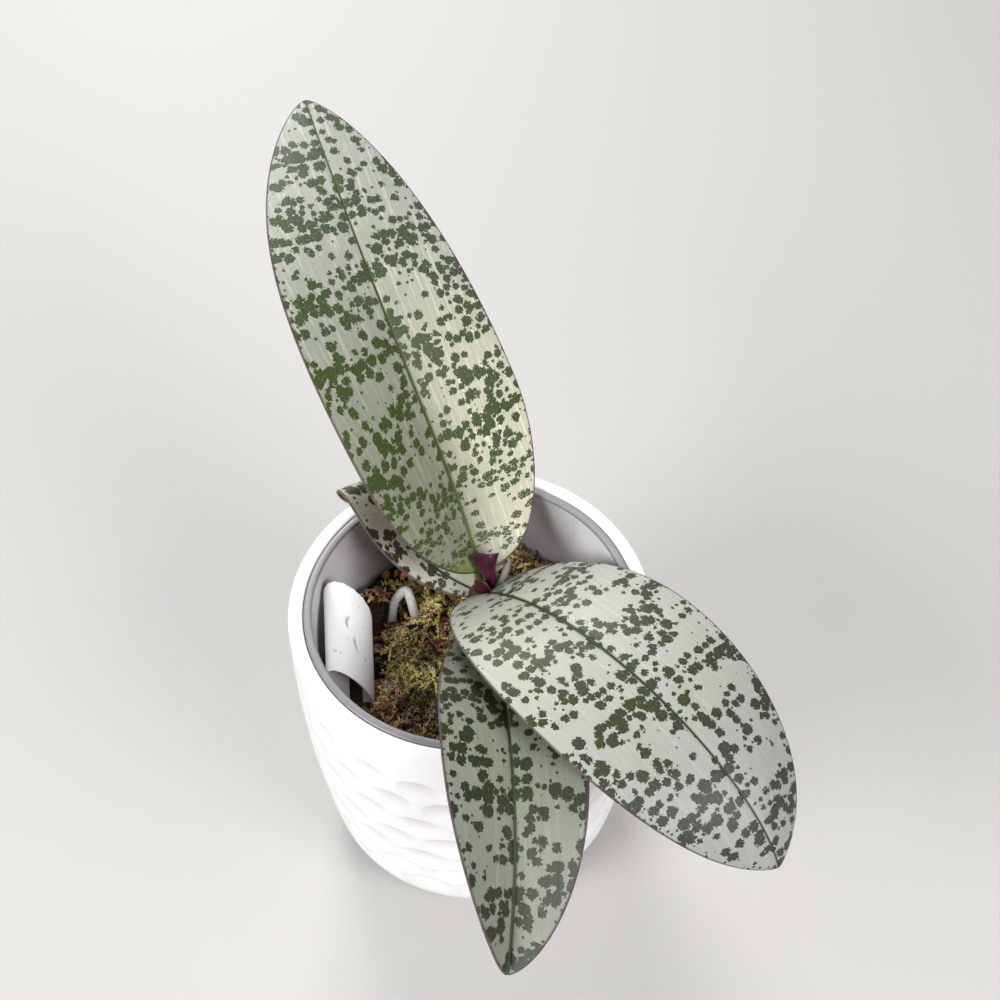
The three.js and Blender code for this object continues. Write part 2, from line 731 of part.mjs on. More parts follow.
function label(grow) {
  const axis = LABEL_FAR.clone().sub(LABEL_NEAR);
  const across = vec(Math.cos(LABEL_LEAN), 0, Math.sin(LABEL_LEAN));
  across.addScaledVector(axis, -across.dot(axis) / axis.lengthSq()).normalize();
  const out = axis.clone().normalize().cross(across).negate();
  if (out.z < 0) out.negate();
  const stations = LABEL_STATIONS;
  const points = [];
  const faces = [];
  const columns = LABEL_STEPS + 1;
  for (const skin of [grow, -LABEL_SHEET - grow]) {
    for (const t of stations) {
      for (let i = 0; i <= LABEL_STEPS; i++) {
        const a = LABEL_TURN[0] + ((LABEL_TURN[1] - LABEL_TURN[0]) * i) / LABEL_STEPS;
        const spiral = 1 - (LABEL_SPIRAL * i) / LABEL_STEPS;
        const x = (LABEL_HALF[0] * spiral + skin) * Math.cos(a);
        const y = (LABEL_HALF[1] * spiral + skin) * Math.sin(a);
        const slant = (LABEL_SLANT[0] * (1 - t) + LABEL_SLANT[1] * t) * Math.cos(a);
        const rake = (LABEL_RAKE[0] * (1 - t) + LABEL_RAKE[1] * t) * Math.sin(a);
        const tongue = LABEL_TONGUE * (1 - t) * Math.sqrt(Math.max(-Math.sin(a), 0));
        const p = LABEL_NEAR.clone().addScaledVector(axis, t - slant - rake - tongue);
        points.push(p.addScaledVector(across, x).addScaledVector(out, y));
      }
    }
  }
  const half = stations.length * columns;
  for (let k = 0; k + 1 < stations.length; k++) {
    for (let i = 0; i < LABEL_STEPS; i++) {
      const a = k * columns + i;
      const b = a + columns;
      faces.push(a, b + 1, a + 1, a, b, b + 1);
      faces.push(half + a, half + a + 1, half + b + 1, half + a, half + b + 1, half + b);
    }
  }
  const rim = [];
  const top = (stations.length - 1) * columns;
  for (let i = 0; i < columns; i++) rim.push(i);
  for (let k = 1; k < stations.length; k++) rim.push(k * columns + columns - 1);
  for (let i = columns - 2; i >= 0; i--) rim.push(top + i);
  for (let k = stations.length - 2; k > 0; k--) rim.push(k * columns);
  rim.forEach((a, k) => {
    const b = rim[(k + 1) % rim.length];
    faces.push(a, b, half + b, a, half + b, half + a);
  });
  return solidOf(geometryOf(points, faces));
}

const material = {
  glaze: { color: 0xf2f1ee, roughness: 0.35, metalness: 0 },
  liner: { color: 0x9a9aa2, roughness: 0.4, metalness: 0 },
  bark: { color: 0x5a3a28, roughness: 0.9, metalness: 0 },
  mossOlive: { color: 0x7a7a2e, roughness: 0.9, metalness: 0 },
  mossStraw: { color: 0x9a7f45, roughness: 0.9, metalness: 0 },
  stem: { color: 0x6f7a45, roughness: 0.6, metalness: 0 },
  root: { color: 0xb9bdb0, roughness: 0.7, metalness: 0 },
  leaf: { color: 0x9fa89a, roughness: 0.4, metalness: 0 },
  young: { color: 0x6e1f4e, roughness: 0.3, metalness: 0 },
  sheath: { color: 0xa06a78, roughness: 0.5, metalness: 0 },
  label: { color: 0xf4f4f2, roughness: 0.4, metalness: 0 },
};

const plant = new THREE.Group();
plant.name = "potted_moth_orchid";

function add(name, geometry, kind) {
  const mesh = new THREE.Mesh(geometry, new THREE.MeshStandardMaterial(material[kind]));
  mesh.name = name;
  plant.add(mesh);
}

add("outer_pot", outerPot(), "glaze");
add("liner_pot", linerPot(), "liner");

// growing mix with its chips, cut clear of the stem, the roots and the label
const stemRoom = stem(GAP);
const rootRooms = Object.values(ROOTS).map((controls) => root(controls, GAP));
const labelRoom = wasm.Manifold.hull([label(GAP)]);
const rooms = wasm.Manifold.union([stemRoom, labelRoom, ...rootRooms]);
const mix = wasm.Manifold.union([solidOf(mixCore()), ...barkChips()]);
add("growing_mix", bodyOf(mix.subtract(rooms)), "bark");
add("moss_left", bodyOf(mossPatch(MOSS_LEFT).subtract(rooms)), "mossOlive");
add("moss_front", bodyOf(mossPatch(MOSS_FRONT).subtract(rooms)), "mossOlive");
add("moss_right", bodyOf(mossPatch(MOSS_RIGHT).subtract(rooms)), "mossStraw");
add("moss_back", bodyOf(mossPatch(MOSS_BACK).subtract(rooms)), "mossStraw");
add("stem", bodyOf(stem(0)), "stem");
for (const [name, controls] of Object.entries(ROOTS)) {
  add(name, bodyOf(root(controls, 0).subtract(stemRoom)), "root");
}
add("plant_label", bodyOf(label(0)), "label");

// the leaves, each trimmed clear of the stem and of the ones placed before it
const order = [
  ["young_leaf", YOUNG_LEAF, "young"],
  ["crown_sheath", CROWN_SHEATH, "sheath"],
  ["side_bract", SIDE_BRACT, "sheath"],
  ["upper_leaf", UPPER_LEAF, "leaf"],
  ["right_leaf", RIGHT_LEAF, "leaf"],
  ["front_leaf", FRONT_LEAF, "leaf"],
  ["back_leaf", BACK_LEAF, "leaf"],
];
let taken = rooms;
for (const [name, leaf, kind] of order) {
  add(name, bodyOf(blade(leaf).subtract(taken)), kind);
  taken = taken.add(blade(leaf, GAP));
}

export default plant;
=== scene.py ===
import math

import bpy
import numpy as np
from mathutils import Matrix, Vector


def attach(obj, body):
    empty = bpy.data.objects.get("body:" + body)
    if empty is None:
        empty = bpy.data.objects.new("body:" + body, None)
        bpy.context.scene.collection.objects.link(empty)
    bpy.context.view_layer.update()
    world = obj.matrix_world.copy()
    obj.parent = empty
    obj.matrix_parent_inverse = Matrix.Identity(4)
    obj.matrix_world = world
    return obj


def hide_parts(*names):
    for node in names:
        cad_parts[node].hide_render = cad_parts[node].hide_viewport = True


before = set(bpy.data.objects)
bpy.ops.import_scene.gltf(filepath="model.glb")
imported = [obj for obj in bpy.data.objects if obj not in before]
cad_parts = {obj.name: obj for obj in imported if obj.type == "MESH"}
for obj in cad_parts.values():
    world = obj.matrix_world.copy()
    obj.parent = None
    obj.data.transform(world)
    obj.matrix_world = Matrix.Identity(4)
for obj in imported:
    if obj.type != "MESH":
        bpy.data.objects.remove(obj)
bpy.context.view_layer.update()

# The viewpoint: a hand-held picture taken from above and in front, about half a metre away,
# leaning two degrees. The small shift puts the pot where that picture frames it.
MM = 0.001
view_down = math.radians(52.4)
view_lean = math.radians(-2.04)
view_forward = Vector((0, math.cos(view_down), -math.sin(view_down)))
level_right = Vector((1, 0, 0))
level_up = level_right.cross(view_forward)
view_right = level_right * math.cos(view_lean) + level_up * math.sin(view_lean)
view_up = level_up * math.cos(view_lean) - level_right * math.sin(view_lean)
view_target = Vector((-1.0, 0, 161.0)) * MM
view_distance = 493 * MM
camera_data = bpy.data.cameras.new("viewpoint")
camera_data.sensor_width = 36
camera_data.lens = 51.3
camera_data.shift_x = 0.035
camera_data.shift_y = 0.059
camera_data.clip_start = 0.01
camera = bpy.data.objects.new("viewpoint", camera_data)
axes = Matrix((view_right, view_up, -view_forward)).transposed()
camera.matrix_world = Matrix.Translation(view_target - view_forward * view_distance) @ axes.to_4x4()
bpy.context.scene.collection.objects.link(camera)
bpy.context.scene.camera = camera

# The studio: a wide pale floor, a soft pale sky and three soft lights. One stands high behind the
# plant and a little to its left, as in the picture, and one on each side in front opens the shadows.
floor_half = 1.6
floor_drop = 0.0004
pale_floor = bpy.data.materials.new("pale_floor")
pale_floor.use_nodes = True
shader = pale_floor.node_tree.nodes["Principled BSDF"]
shader.inputs["Base Color"].default_value = (0.5, 0.49, 0.475, 1)
shader.inputs["Roughness"].default_value = 0.7
floor_mesh = bpy.data.meshes.new("studio_floor")
floor_mesh.from_pydata(
    [(-floor_half, -floor_half, 0), (floor_half, -floor_half, 0),
     (floor_half, floor_half, 0), (-floor_half, floor_half, 0)],
    [], [(0, 1, 2, 3)])
floor_mesh.materials.append(pale_floor)
floor = bpy.data.objects.new("studio_floor", floor_mesh)
floor.location.z = -floor_drop
bpy.context.scene.collection.objects.link(floor)

sky = bpy.data.worlds.new("soft_sky")
sky.use_nodes = True
sky.node_tree.nodes["Background"].inputs["Color"].default_value = (0.96, 0.98, 1.0, 1)
sky.node_tree.nodes["Background"].inputs["Strength"].default_value = 0.3
bpy.context.scene.world = sky
bpy.context.scene.view_settings.view_transform = "Standard"

light_size = 0.7
light_aim = Vector((0, 0, 0.12))
studio_lights = {
    "back_light": ((-0.25, 1.1, 0.95), 15.5, (1.0, 0.99, 0.975)),
    "left_light": ((-0.95, -0.65, 0.85), 15.5, (0.985, 0.99, 1.0)),
    "right_light": ((0.8, -0.8, 0.9), 14, (1.0, 0.99, 0.975)),
}
for light_name, (place, power, colour) in studio_lights.items():
    lamp = bpy.data.lights.new(light_name, "AREA")
    lamp.shape = "DISK"
    lamp.size = light_size
    lamp.energy = power
    lamp.color = colour
    holder = bpy.data.objects.new(light_name, lamp)
    holder.location = place
    holder.rotation_euler = (light_aim - Vector(place)).to_track_quat("-Z", "Y").to_euler()
    bpy.context.scene.collection.objects.link(holder)

# The outer pot: one slip-cast white ceramic vessel with a flat base, its wall pressed all over
# with shallow hammered scoops in staggered rows, and a clear satin glaze fired over it.
pot_height = 134.6
pot_top_r, pot_mid_r, pot_low_r = 65.5, 65.2, 57.8
pot_corner_r = 19.6
pot_wall = 5.2
pot_floor = 6.0
rim_round = 1.2
liner_top_r = 60.0
gap = 0.3
dimples_around = 20
dimple_rows = 7
dimple_top_z = 118.0
dimple_pitch = 14.0
dimple_depth = 1.5
dimple_half_angle = math.radians(8.2)
dimple_arch = 0.32
dimple_wander = 0.08
dimple_uneven = 0.9
dimple_edge = 0.1
dimple_fade = 0.95
shade_width, shade_edge, shade_fade = 0.85, 0.14, 0.5


def body_radius(z):
    t = z / pot_height
    return (pot_low_r * (1 - t) * (1 - 2 * t) + pot_mid_r * 4 * t * (1 - t)
            + pot_top_r * t * (2 * t - 1))


def outer_radius(z):
    if z >= pot_corner_r:
        return body_radius(z)
    drop = pot_corner_r - z
    return body_radius(z) - pot_corner_r + math.sqrt(pot_corner_r ** 2 - drop ** 2)


def scoop_places(angle, z):
    """For each row of scoops, how far across and how far down the nearest one each point lies."""
    pitch = 2 * math.pi / dimples_around
    for row in range(dimple_rows):
        shifted = angle / pitch + (row % 2) / 2
        cell = np.round(shifted)
        across = (shifted - cell) * pitch / dimple_half_angle
        across = across + dimple_wander * np.sin(cell * 12.9 + row * 7.1)
        top = dimple_top_z - row * dimple_pitch + dimple_uneven * np.sin(cell * 5.3 + row * 3.7)
        yield across, (top - z) / dimple_pitch - dimple_arch * across ** 2


def scoop_depth(angle, z):
    """Depth of the hammered scoops: a crisp upper edge that fades out downwards."""
    total = np.zeros_like(angle)
    for across, down in scoop_places(angle, z):
        width = np.clip(1 - across ** 2, 0, None)
        rise = np.clip(down / dimple_edge, 0, 1)
        rise = rise * rise * (3 - 2 * rise)
        fade = np.clip(1 - np.clip(down - dimple_edge, 0, None) / dimple_fade, 0, 1)
        total = np.maximum(total, np.where(down > 0, width ** 1.1 * rise * fade ** 1.2, 0))
    return dimple_depth * total


def scoop_painted_shade(angle, z):
    """Share of painted shade, a greyer lavender tone, under the crisp upper edge of each scoop."""
    total = np.zeros_like(angle)
    for across, down in scoop_places(angle, z):
        width = np.clip(1 - (across / shade_width) ** 2, 0, None) ** 1.2
        fade = np.clip(1 - (down - 2 * dimple_edge) / shade_fade, 0, 1)
        shade = width * np.clip(down / shade_edge, 0, 1) * fade ** 1.3
        total = np.maximum(total, np.where(down > 0, shade, 0))
    return total


def link_mesh(name, points, faces, smooth=True):
    mesh = bpy.data.meshes.new(name)
    mesh.from_pydata([tuple(p) for p in np.asarray(points) * MM], [], faces)
    mesh.polygons.foreach_set("use_smooth", [smooth] * len(mesh.polygons))
    mesh.update()
    piece = bpy.data.objects.new(name, mesh)
    bpy.context.scene.collection.objects.link(piece)
    return piece


def ring_faces(rings, columns):
    faces = []
    for k in range(rings - 1):
        a, b = k * columns, (k + 1) * columns
        for i in range(columns):
            j = (i + 1) % columns
            faces.append((a + i, a + j, b + j, b + i))
    return faces


def turned_piece(name, rows, columns):
    """Closed turned mesh from rows of (radii around, height), first row low and outside."""
    angle = np.linspace(0, 2 * math.pi, columns, endpoint=False)
    points = []
    for radii, z in rows:
        radii = np.broadcast_to(radii, angle.shape)
        points.append(np.stack([radii * np.cos(angle), radii * np.sin(angle),
                                np.full_like(angle, z)], 1))
    points = np.concatenate(points)
    faces = ring_faces(len(rows), columns)
    first, last = len(points), len(points) + 1
    points = np.concatenate([points, [(0, 0, rows[0][1]), (0, 0, rows[-1][1])]])
    end = (len(rows) - 1) * columns
    for i in range(columns):
        j = (i + 1) % columns
        faces.append((first, j, i))
        faces.append((last, end + i, end + j))
    return link_mesh(name, points, faces)


def rounded_outside(r, radius, steps):
    """Rows of a lip's outer rounding, from the wall of radius r up to the top."""
    turns = np.linspace(0, math.pi / 2, steps)[1:]
    return [(r - radius * (1 - math.cos(a)), pot_height - radius * (1 - math.sin(a))) for a in turns]


def rounded_inside(r, radius, steps):
    """Rows of a lip's inner rounding, from the top down to the wall of radius r."""
    turns = np.linspace(0, math.pi / 2, steps)
    return [(r + radius * (1 - math.sin(a)), pot_height - radius * (1 - math.cos(a))) for a in turns]


pot_columns = 400
corner_rows = 16
wall_rows = 128
lip_round = 0.8
foot_shares = (0.3, 0.6, 0.9, 0.98)
pot_inner_z = (120, 80, 40, 30, 20, 14, 10)
pot_angle = np.linspace(0, 2 * math.pi, pot_columns, endpoint=False)
pot_rows = [(outer_radius(0) * share, 0.0) for share in foot_shares]
outside_z = np.concatenate([np.linspace(0, pot_corner_r, corner_rows),
                            np.linspace(pot_corner_r, pot_height - rim_round, wall_rows)[1:]])
for z in outside_z:
    pot_rows.append((outer_radius(z) - scoop_depth(pot_angle, z), z))
inside = liner_top_r + gap
pot_rows += rounded_outside(pot_top_r, rim_round, 6) + rounded_inside(inside, lip_round, 5)
for z in pot_inner_z:
    pot_rows.append((min(inside, outer_radius(z) - pot_wall), z))
for share in (1, 0.9, 0.6, 0.3):
    pot_rows.append(((outer_radius(pot_floor) - pot_wall - 1) * share, pot_floor))
outer_pot = turned_piece("ceramic_pot", pot_rows, pot_columns)


def vertex_map(piece, name, values):
    """UV map that carries two values of each point of the mesh."""
    corner = np.zeros(len(piece.data.loops), np.int32)
    piece.data.loops.foreach_get("vertex_index", corner)
    layer = piece.data.uv_layers.new(name=name)
    layer.data.foreach_set("uv", np.asarray(values)[corner].astype(np.float32).ravel())


scooped_from_r = liner_top_r + 3
pot_points = np.zeros(len(outer_pot.data.vertices) * 3)
outer_pot.data.vertices.foreach_get("co", pot_points)
pot_x, pot_y, pot_z = (pot_points.reshape(-1, 3) / MM).T
# Painted shade of the scoops, carried to the glaze in the UV map scoop.
pot_painted_shade = scoop_painted_shade(np.arctan2(pot_y, pot_x) % (2 * math.pi), pot_z)
pot_painted_shade = np.where(np.hypot(pot_x, pot_y) > scooped_from_r, pot_painted_shade, 0)
vertex_map(outer_pot, "scoop", np.stack([pot_painted_shade, pot_painted_shade], 1))


def new_material(name, **shader_values):
    """New procedural material and its node tree, with plain numbers set on its shader."""
    material = bpy.data.materials.new(name)
    material.use_nodes = True
    for key, value in shader_values.items():
        material.node_tree.nodes["Principled BSDF"].inputs[key.replace("_", " ")].default_value = value
    return material, material.node_tree


def feed(tree, socket, value):
    """Link a socket to another one, or set it to a number, a colour or a vector."""
    if isinstance(value, bpy.types.NodeSocket):
        tree.links.new(value, socket)
    elif isinstance(value, tuple) and socket.type == "RGBA":
        socket.default_value = (*value, 1)
    elif value is not None:
        socket.default_value = value


def object_place(tree):
    return tree.nodes.new("ShaderNodeTexCoord").outputs["Object"]


def map_place(tree, name):
    node = tree.nodes.new("ShaderNodeUVMap")
    node.uv_map = name
    return node.outputs[0]


def parts_of(tree, vector):
    """The three numbers of a vector."""
    node = tree.nodes.new("ShaderNodeSeparateXYZ")
    tree.links.new(vector, node.inputs[0])
    return node.outputs[0], node.outputs[1], node.outputs[2]


def math_node(tree, operation, a, b=None, c=None):
    node = tree.nodes.new("ShaderNodeMath")
    node.operation = operation
    for socket, value in zip(node.inputs, (a, b, c)):
        feed(tree, socket, value)
    return node.outputs[0]


def times(tree, a, b):
    return math_node(tree, "MULTIPLY", a, b)


def times_add(tree, a, b, c):
    return math_node(tree, "MULTIPLY_ADD", a, b, c)


def ramp_between(tree, value, low, high, to_low=0.0, to_high=1.0):
    """Smooth step of a value from one level to another."""
    node = tree.nodes.new("ShaderNodeMapRange")
    node.interpolation_type = "SMOOTHSTEP"
    sockets = ("Value", "From Min", "From Max", "To Min", "To Max")
    for key, number in zip(sockets, (value, low, high, to_low, to_high)):
        feed(tree, node.inputs[key], number)
    return node.outputs["Result"]


def mix_colour(tree, factor, first, second, blend="MIX"):
    node = tree.nodes.new("ShaderNodeMix")
    node.data_type = "RGBA"
    node.blend_type = blend
    node.clamp_factor = True
    for socket, value in ((node.inputs[0], factor), (node.inputs[6], first), (node.inputs[7], second)):
        feed(tree, socket, value)
    return node.outputs[2]


def noise_node(tree, vector, scale, detail=3.0, fineness=0.5):
    node = tree.nodes.new("ShaderNodeTexNoise")
    for key, value in (("Vector", vector), ("Scale", scale), ("Detail", detail), ("Roughness", fineness)):
        feed(tree, node.inputs[key], value)
    return node.outputs["Fac"]


def finish_skin(tree, tone, roughness, height, strength, distance):
    """Give the shader its colour, its roughness and its fine relief."""
    shader = tree.nodes["Principled BSDF"]
    bump = tree.nodes.new("ShaderNodeBump")
    bump.inputs["Strength"].default_value = strength
    bump.inputs["Distance"].default_value = distance
    tree.links.new(height, bump.inputs["Height"])
    tree.links.new(tone, shader.inputs["Base Color"])
    tree.links.new(roughness, shader.inputs["Roughness"])
    tree.links.new(bump.outputs["Normal"], shader.inputs["Normal"])


def new_group(name, inputs, outputs):
    """Shader node group with named sockets; gives the tree, its input node and output node."""
    group = bpy.data.node_groups.new(name, "ShaderNodeTree")
    for title, kind, value in inputs:
        socket = group.interface.new_socket(title, in_out="INPUT", socket_type="NodeSocket" + kind)
        if value is not None:
            socket.default_value = value
    for title, kind in outputs:
        group.interface.new_socket(title, in_out="OUTPUT", socket_type="NodeSocket" + kind)
    return group, group.nodes.new("NodeGroupInput"), group.nodes.new("NodeGroupOutput")


def use_group(tree, group, **inputs):
    node = tree.nodes.new("ShaderNodeGroup")
    node.node_tree = group
    for title, value in inputs.items():
        feed(tree, node.inputs[title.replace("_", " ")], value)
    return node


patchy_tone, taken, given = new_group(
    "patchy_tone",
    [("Place", "Vector", None), ("Scale", "Float", 100.0), ("Detail", "Float", 3.0),
     ("Fineness", "Float", 0.5), ("Start", "Float", 0.4), ("End", "Float", 0.6), ("Share", "Float", 1.0),
     ("Under", "Color", (0.2, 0.2, 0.2, 1)), ("Over", "Color", (0.8, 0.8, 0.8, 1))],
    [("Colour", "Color"), ("Pattern", "Float")])
pattern = noise_node(patchy_tone, *[taken.outputs[key] for key in ("Place", "Scale", "Detail", "Fineness")])
cover = ramp_between(patchy_tone, pattern, taken.outputs["Start"], taken.outputs["End"], 0.0,
                     taken.outputs["Share"])
patchy_tone.links.new(mix_colour(patchy_tone, cover, taken.outputs["Under"], taken.outputs["Over"]),
                      given.inputs["Colour"])
patchy_tone.links.new(pattern, given.inputs["Pattern"])


def patchy(tree, place, scale, detail, fineness, start, end, under, over, share=1.0):
    """Cloudy, dusty or grainy patches of one tone over another; gives the tone and the pattern."""
    node = use_group(tree, patchy_tone, Place=place, Scale=scale, Detail=detail, Fineness=fineness,
                     Start=start, End=end, Share=share, Under=under, Over=over)
    return node.outputs["Colour"], node.outputs["Pattern"]


glaze, tree = new_material("satin_white_glaze", IOR=1.5, Coat_Roughness=0.12, Coat_Weight=0.35)
place = object_place(tree)
thin_glaze, thick_glaze = (0.89, 0.88, 0.88), (0.94, 0.935, 0.935)
dusty_glaze, painted_scoop_shade = (0.76, 0.74, 0.72), (0.6, 0.56, 0.62)
tone, cloud = patchy(tree, place, 34, 4, 0.5, 0.3, 0.7, thin_glaze, thick_glaze)
tone = patchy(tree, place, 140, 6, 0.7, 0.62, 0.8, tone, dusty_glaze, 0.25)[0]
# Painted shade: the glaze is greyed towards lavender just under each scoop's crisp upper edge, where shade
# falls.
scoop_shade_share = times(tree, parts_of(tree, map_place(tree, "scoop"))[0], 0.75)
tone = mix_colour(tree, scoop_shade_share, tone, painted_scoop_shade)
speck = noise_node(tree, place, 900, 2)
finish_skin(tree, tone, ramp_between(tree, speck, 0.2, 0.8, 0.3, 0.42), times_add(tree, cloud, 0.7, speck),
            0.25, 0.0004)
outer_pot.data.materials.append(glaze)
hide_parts("outer_pot")
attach(outer_pot, "root")

# The liner pot: a thin grey plastic nursery pot dropped into the ceramic one until its narrow
# lip is level with the rim. Its inside is smooth, a little shiny, water-marked and dusty,
# with painted light: lighter towards the top and on both sides.
liner_lip = 3.0
liner_lip_depth = 5.0
liner_wall = 1.8
liner_taper = 0.8
liner_taper_span = 34.6
liner_floor = 2.0
liner_chamfer = 4.0
liner_round = 0.7
liner_columns = 256
liner_outer_z = (25, 40, 60, 80, 100, 115)
liner_inner_z = (131, 127, 122, 116, 108, 100, 90, 80, 60, 40, 25)


def liner_inside(z):
    return liner_top_r - liner_lip - liner_taper * ((pot_height - z) / liner_taper_span) ** 2


liner_foot = pot_floor + gap
liner_bed = liner_foot + liner_floor
liner_rows = [((liner_inside(liner_foot) + liner_wall - liner_chamfer) * share, liner_foot)
              for share in (0.3, 0.7, 1)]
for z in (liner_foot + liner_chamfer, *liner_outer_z, pot_height - liner_lip_depth - 1.5):
    liner_rows.append((liner_inside(z) + liner_wall, z))
liner_rows += [(liner_top_r - 0.5, pot_height - liner_lip_depth),
               (liner_top_r, pot_height - liner_lip_depth + 0.5), (liner_top_r, pot_height - lip_round)]
liner_rows += rounded_outside(liner_top_r, lip_round, 5)
liner_rows += rounded_inside(liner_top_r - liner_lip, liner_round, 5)
for z in (*liner_inner_z, liner_bed + liner_chamfer):
    liner_rows.append((liner_inside(z), z))
for share in (1, 0.7, 0.3):
    liner_rows.append(((liner_inside(liner_bed) - liner_chamfer) * share, liner_bed))
liner_pot = turned_piece("grey_liner", liner_rows, liner_columns)
liner_look, tree = new_material("grey_liner_plastic")
place = object_place(tree)
side_x, level = parts_of(tree, place)[::2]
stretch = tree.nodes.new("ShaderNodeMapping")
stretch.inputs["Scale"].default_value = (1, 1, 0.16)
tree.links.new(place, stretch.inputs["Vector"])
damp_grey, dry_grey, upper_lit_grey = (0.2, 0.188, 0.192), (0.255, 0.242, 0.248), (0.3, 0.295, 0.303)
right_lit_grey, left_lit_grey, lip_grey = (0.93, 0.925, 0.93), (0.72, 0.71, 0.73), (0.2, 0.195, 0.205)
water_run, water_splash = (0.52, 0.51, 0.52), (0.62, 0.61, 0.6)
tone = patchy(tree, place, 22, 3, 0.5, 0.3, 0.7, damp_grey, dry_grey)[0]
# Painted light and shade: the inner wall is painted lighter towards the top, and much lighter on the right
# and left sides, where light falls into the pot.
tone = mix_colour(tree, ramp_between(tree, level, 0.1, 0.132), tone, upper_lit_grey)
tone = mix_colour(tree, ramp_between(tree, side_x, 0.022, 0.053, 0, 0.97), tone, right_lit_grey)
tone = mix_colour(tree, ramp_between(tree, side_x, -0.058, -0.008, 0.95, 0), tone, left_lit_grey)
tone, runs = patchy(tree, stretch.outputs[0], 90, 3, 0.6, 0.56, 0.72, tone, water_run, 0.45)
tone, splash = patchy(tree, place, 260, 4, 0.7, 0.66, 0.74, tone, water_splash, 0.55)
tone = mix_colour(tree, ramp_between(tree, level, 0.1325, 0.1338, 0, 0.9), tone, lip_grey)
marked = math_node(tree, "ADD", ramp_between(tree, runs, 0.56, 0.72), ramp_between(tree, splash, 0.66, 0.74))
finish_skin(tree, tone, ramp_between(tree, marked, 0, 1, 0.3, 0.55), noise_node(tree, place, 420),
            0.12, 0.0003)
liner_pot.data.materials.append(liner_look)
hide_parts("liner_pot")
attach(liner_pot, "root")

# The growing mix: shredded bark and husk packed round the roots up to 35 mm below the rim. This
# piece is the dark damp body of it, with a lumpy top that the loose bits below are pressed into.
mix_edge_z = 98.0
mix_crown = 6.0
mix_bump = 1.3
mix_side_r = 55.2
stem_x, stem_y = 6.0, 14.0


def mix_height(x, y):
    out = np.hypot(x, y) / mix_side_r
    lumps = np.sin(x * 0.21 + 1.3) * np.cos(y * 0.17) + np.sin(x * 0.11 - y * 0.26)
    return mix_edge_z + mix_crown * (1 - out ** 2) + mix_bump * lumps


mix_columns = 180
mix_top_rings = 52
mix_rough = 0.55
mix_sunk = 0.5
mix_angle = np.linspace(0, 2 * math.pi, mix_columns, endpoint=False)
mix_points, mix_rings = [], []
mix_bed = liner_bed + gap
for z in (mix_bed, mix_bed + liner_chamfer, 40, 70, 90):
    r = liner_inside(z) - 2 * gap - (liner_chamfer if z == mix_bed else 0)
    mix_rings.append((np.full(mix_columns, r), np.full(mix_columns, float(z))))
for r in np.linspace(mix_side_r, 0.6, mix_top_rings):
    x, y = r * np.cos(mix_angle), r * np.sin(mix_angle)
    rough = (np.sin(x * 1.9 + 2.1 * np.sin(y * 0.9)) * np.sin(y * 2.3 + 1.7 * np.sin(x * 1.1))
             + 0.6 * np.sin(x * 4.7 + y * 1.3) * np.sin(y * 4.1 - x * 2.2))
    mix_rings.append((np.full(mix_columns, r), mix_height(x, y) + mix_rough * rough - mix_sunk))
for radii, heights in mix_rings:
    mix_points.append(np.stack([radii * np.cos(mix_angle), radii * np.sin(mix_angle), heights], 1))
mix_points = np.concatenate(mix_points)
mix_faces = ring_faces(len(mix_rings), mix_columns)
mix_faces.append(tuple(range(mix_columns))[::-1])
mix_faces.append(tuple(range(len(mix_points) - mix_columns, len(mix_points))))
growing_mix = link_mesh("packed_mix", mix_points, mix_faces)
damp_mix, tree = new_material("damp_bark_mix")
place = object_place(tree)
wet_bark, dry_bark, green_film = (0.012, 0.007, 0.004), (0.07, 0.035, 0.018), (0.03, 0.03, 0.008)
tone, grit = patchy(tree, place, 700, 5, 0.65, 0.35, 0.7, wet_bark, dry_bark)
tone = patchy(tree, place, 130, 3, 0.5, 0.5, 0.7, tone, green_film)[0]
finish_skin(tree, tone, ramp_between(tree, grit, 0.3, 0.7, 0.9, 0.6), grit, 0.9, 0.001)
growing_mix.data.materials.append(damp_mix)
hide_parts("growing_mix")
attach(growing_mix, "root")

# Husk chips: flat torn flakes of fir bark and coconut husk, 3 to 9 mm long, lying loose on the
# mix at all angles. Each one has its own shade, from nearly black to brick red and tan.
stem_clearance = 7.6
label_foot_x = -37
label_foot_y = (-24, 20)
arch_feet = ((-21.5, 18.5), (-29.5, 20))
arch_clearance = 2.6


def clear_place(x, y, reach):
    """Whether loose bits of this reach fit here, clear of the wall, stem, label and root arch."""
    if math.hypot(x, y) > mix_side_r - reach:
        return False
    if math.hypot(x - stem_x, y - stem_y) < stem_clearance + 0.5 * reach:
        return False
    if any(math.hypot(x - a, y - b) < arch_clearance + 0.4 * reach for a, b in arch_feet):
        return False
    return not (x < label_foot_x + 0.5 * reach and label_foot_y[0] < y < label_foot_y[1])


def bend_frame(direction):
    direction = direction / np.linalg.norm(direction)
    helper = np.array([0, 0, 1.0]) if abs(direction[2]) < 0.8 else np.array([1.0, 0, 0])
    side = np.cross(helper, direction)
    side /= np.linalg.norm(side)
    return side, np.cross(direction, side)


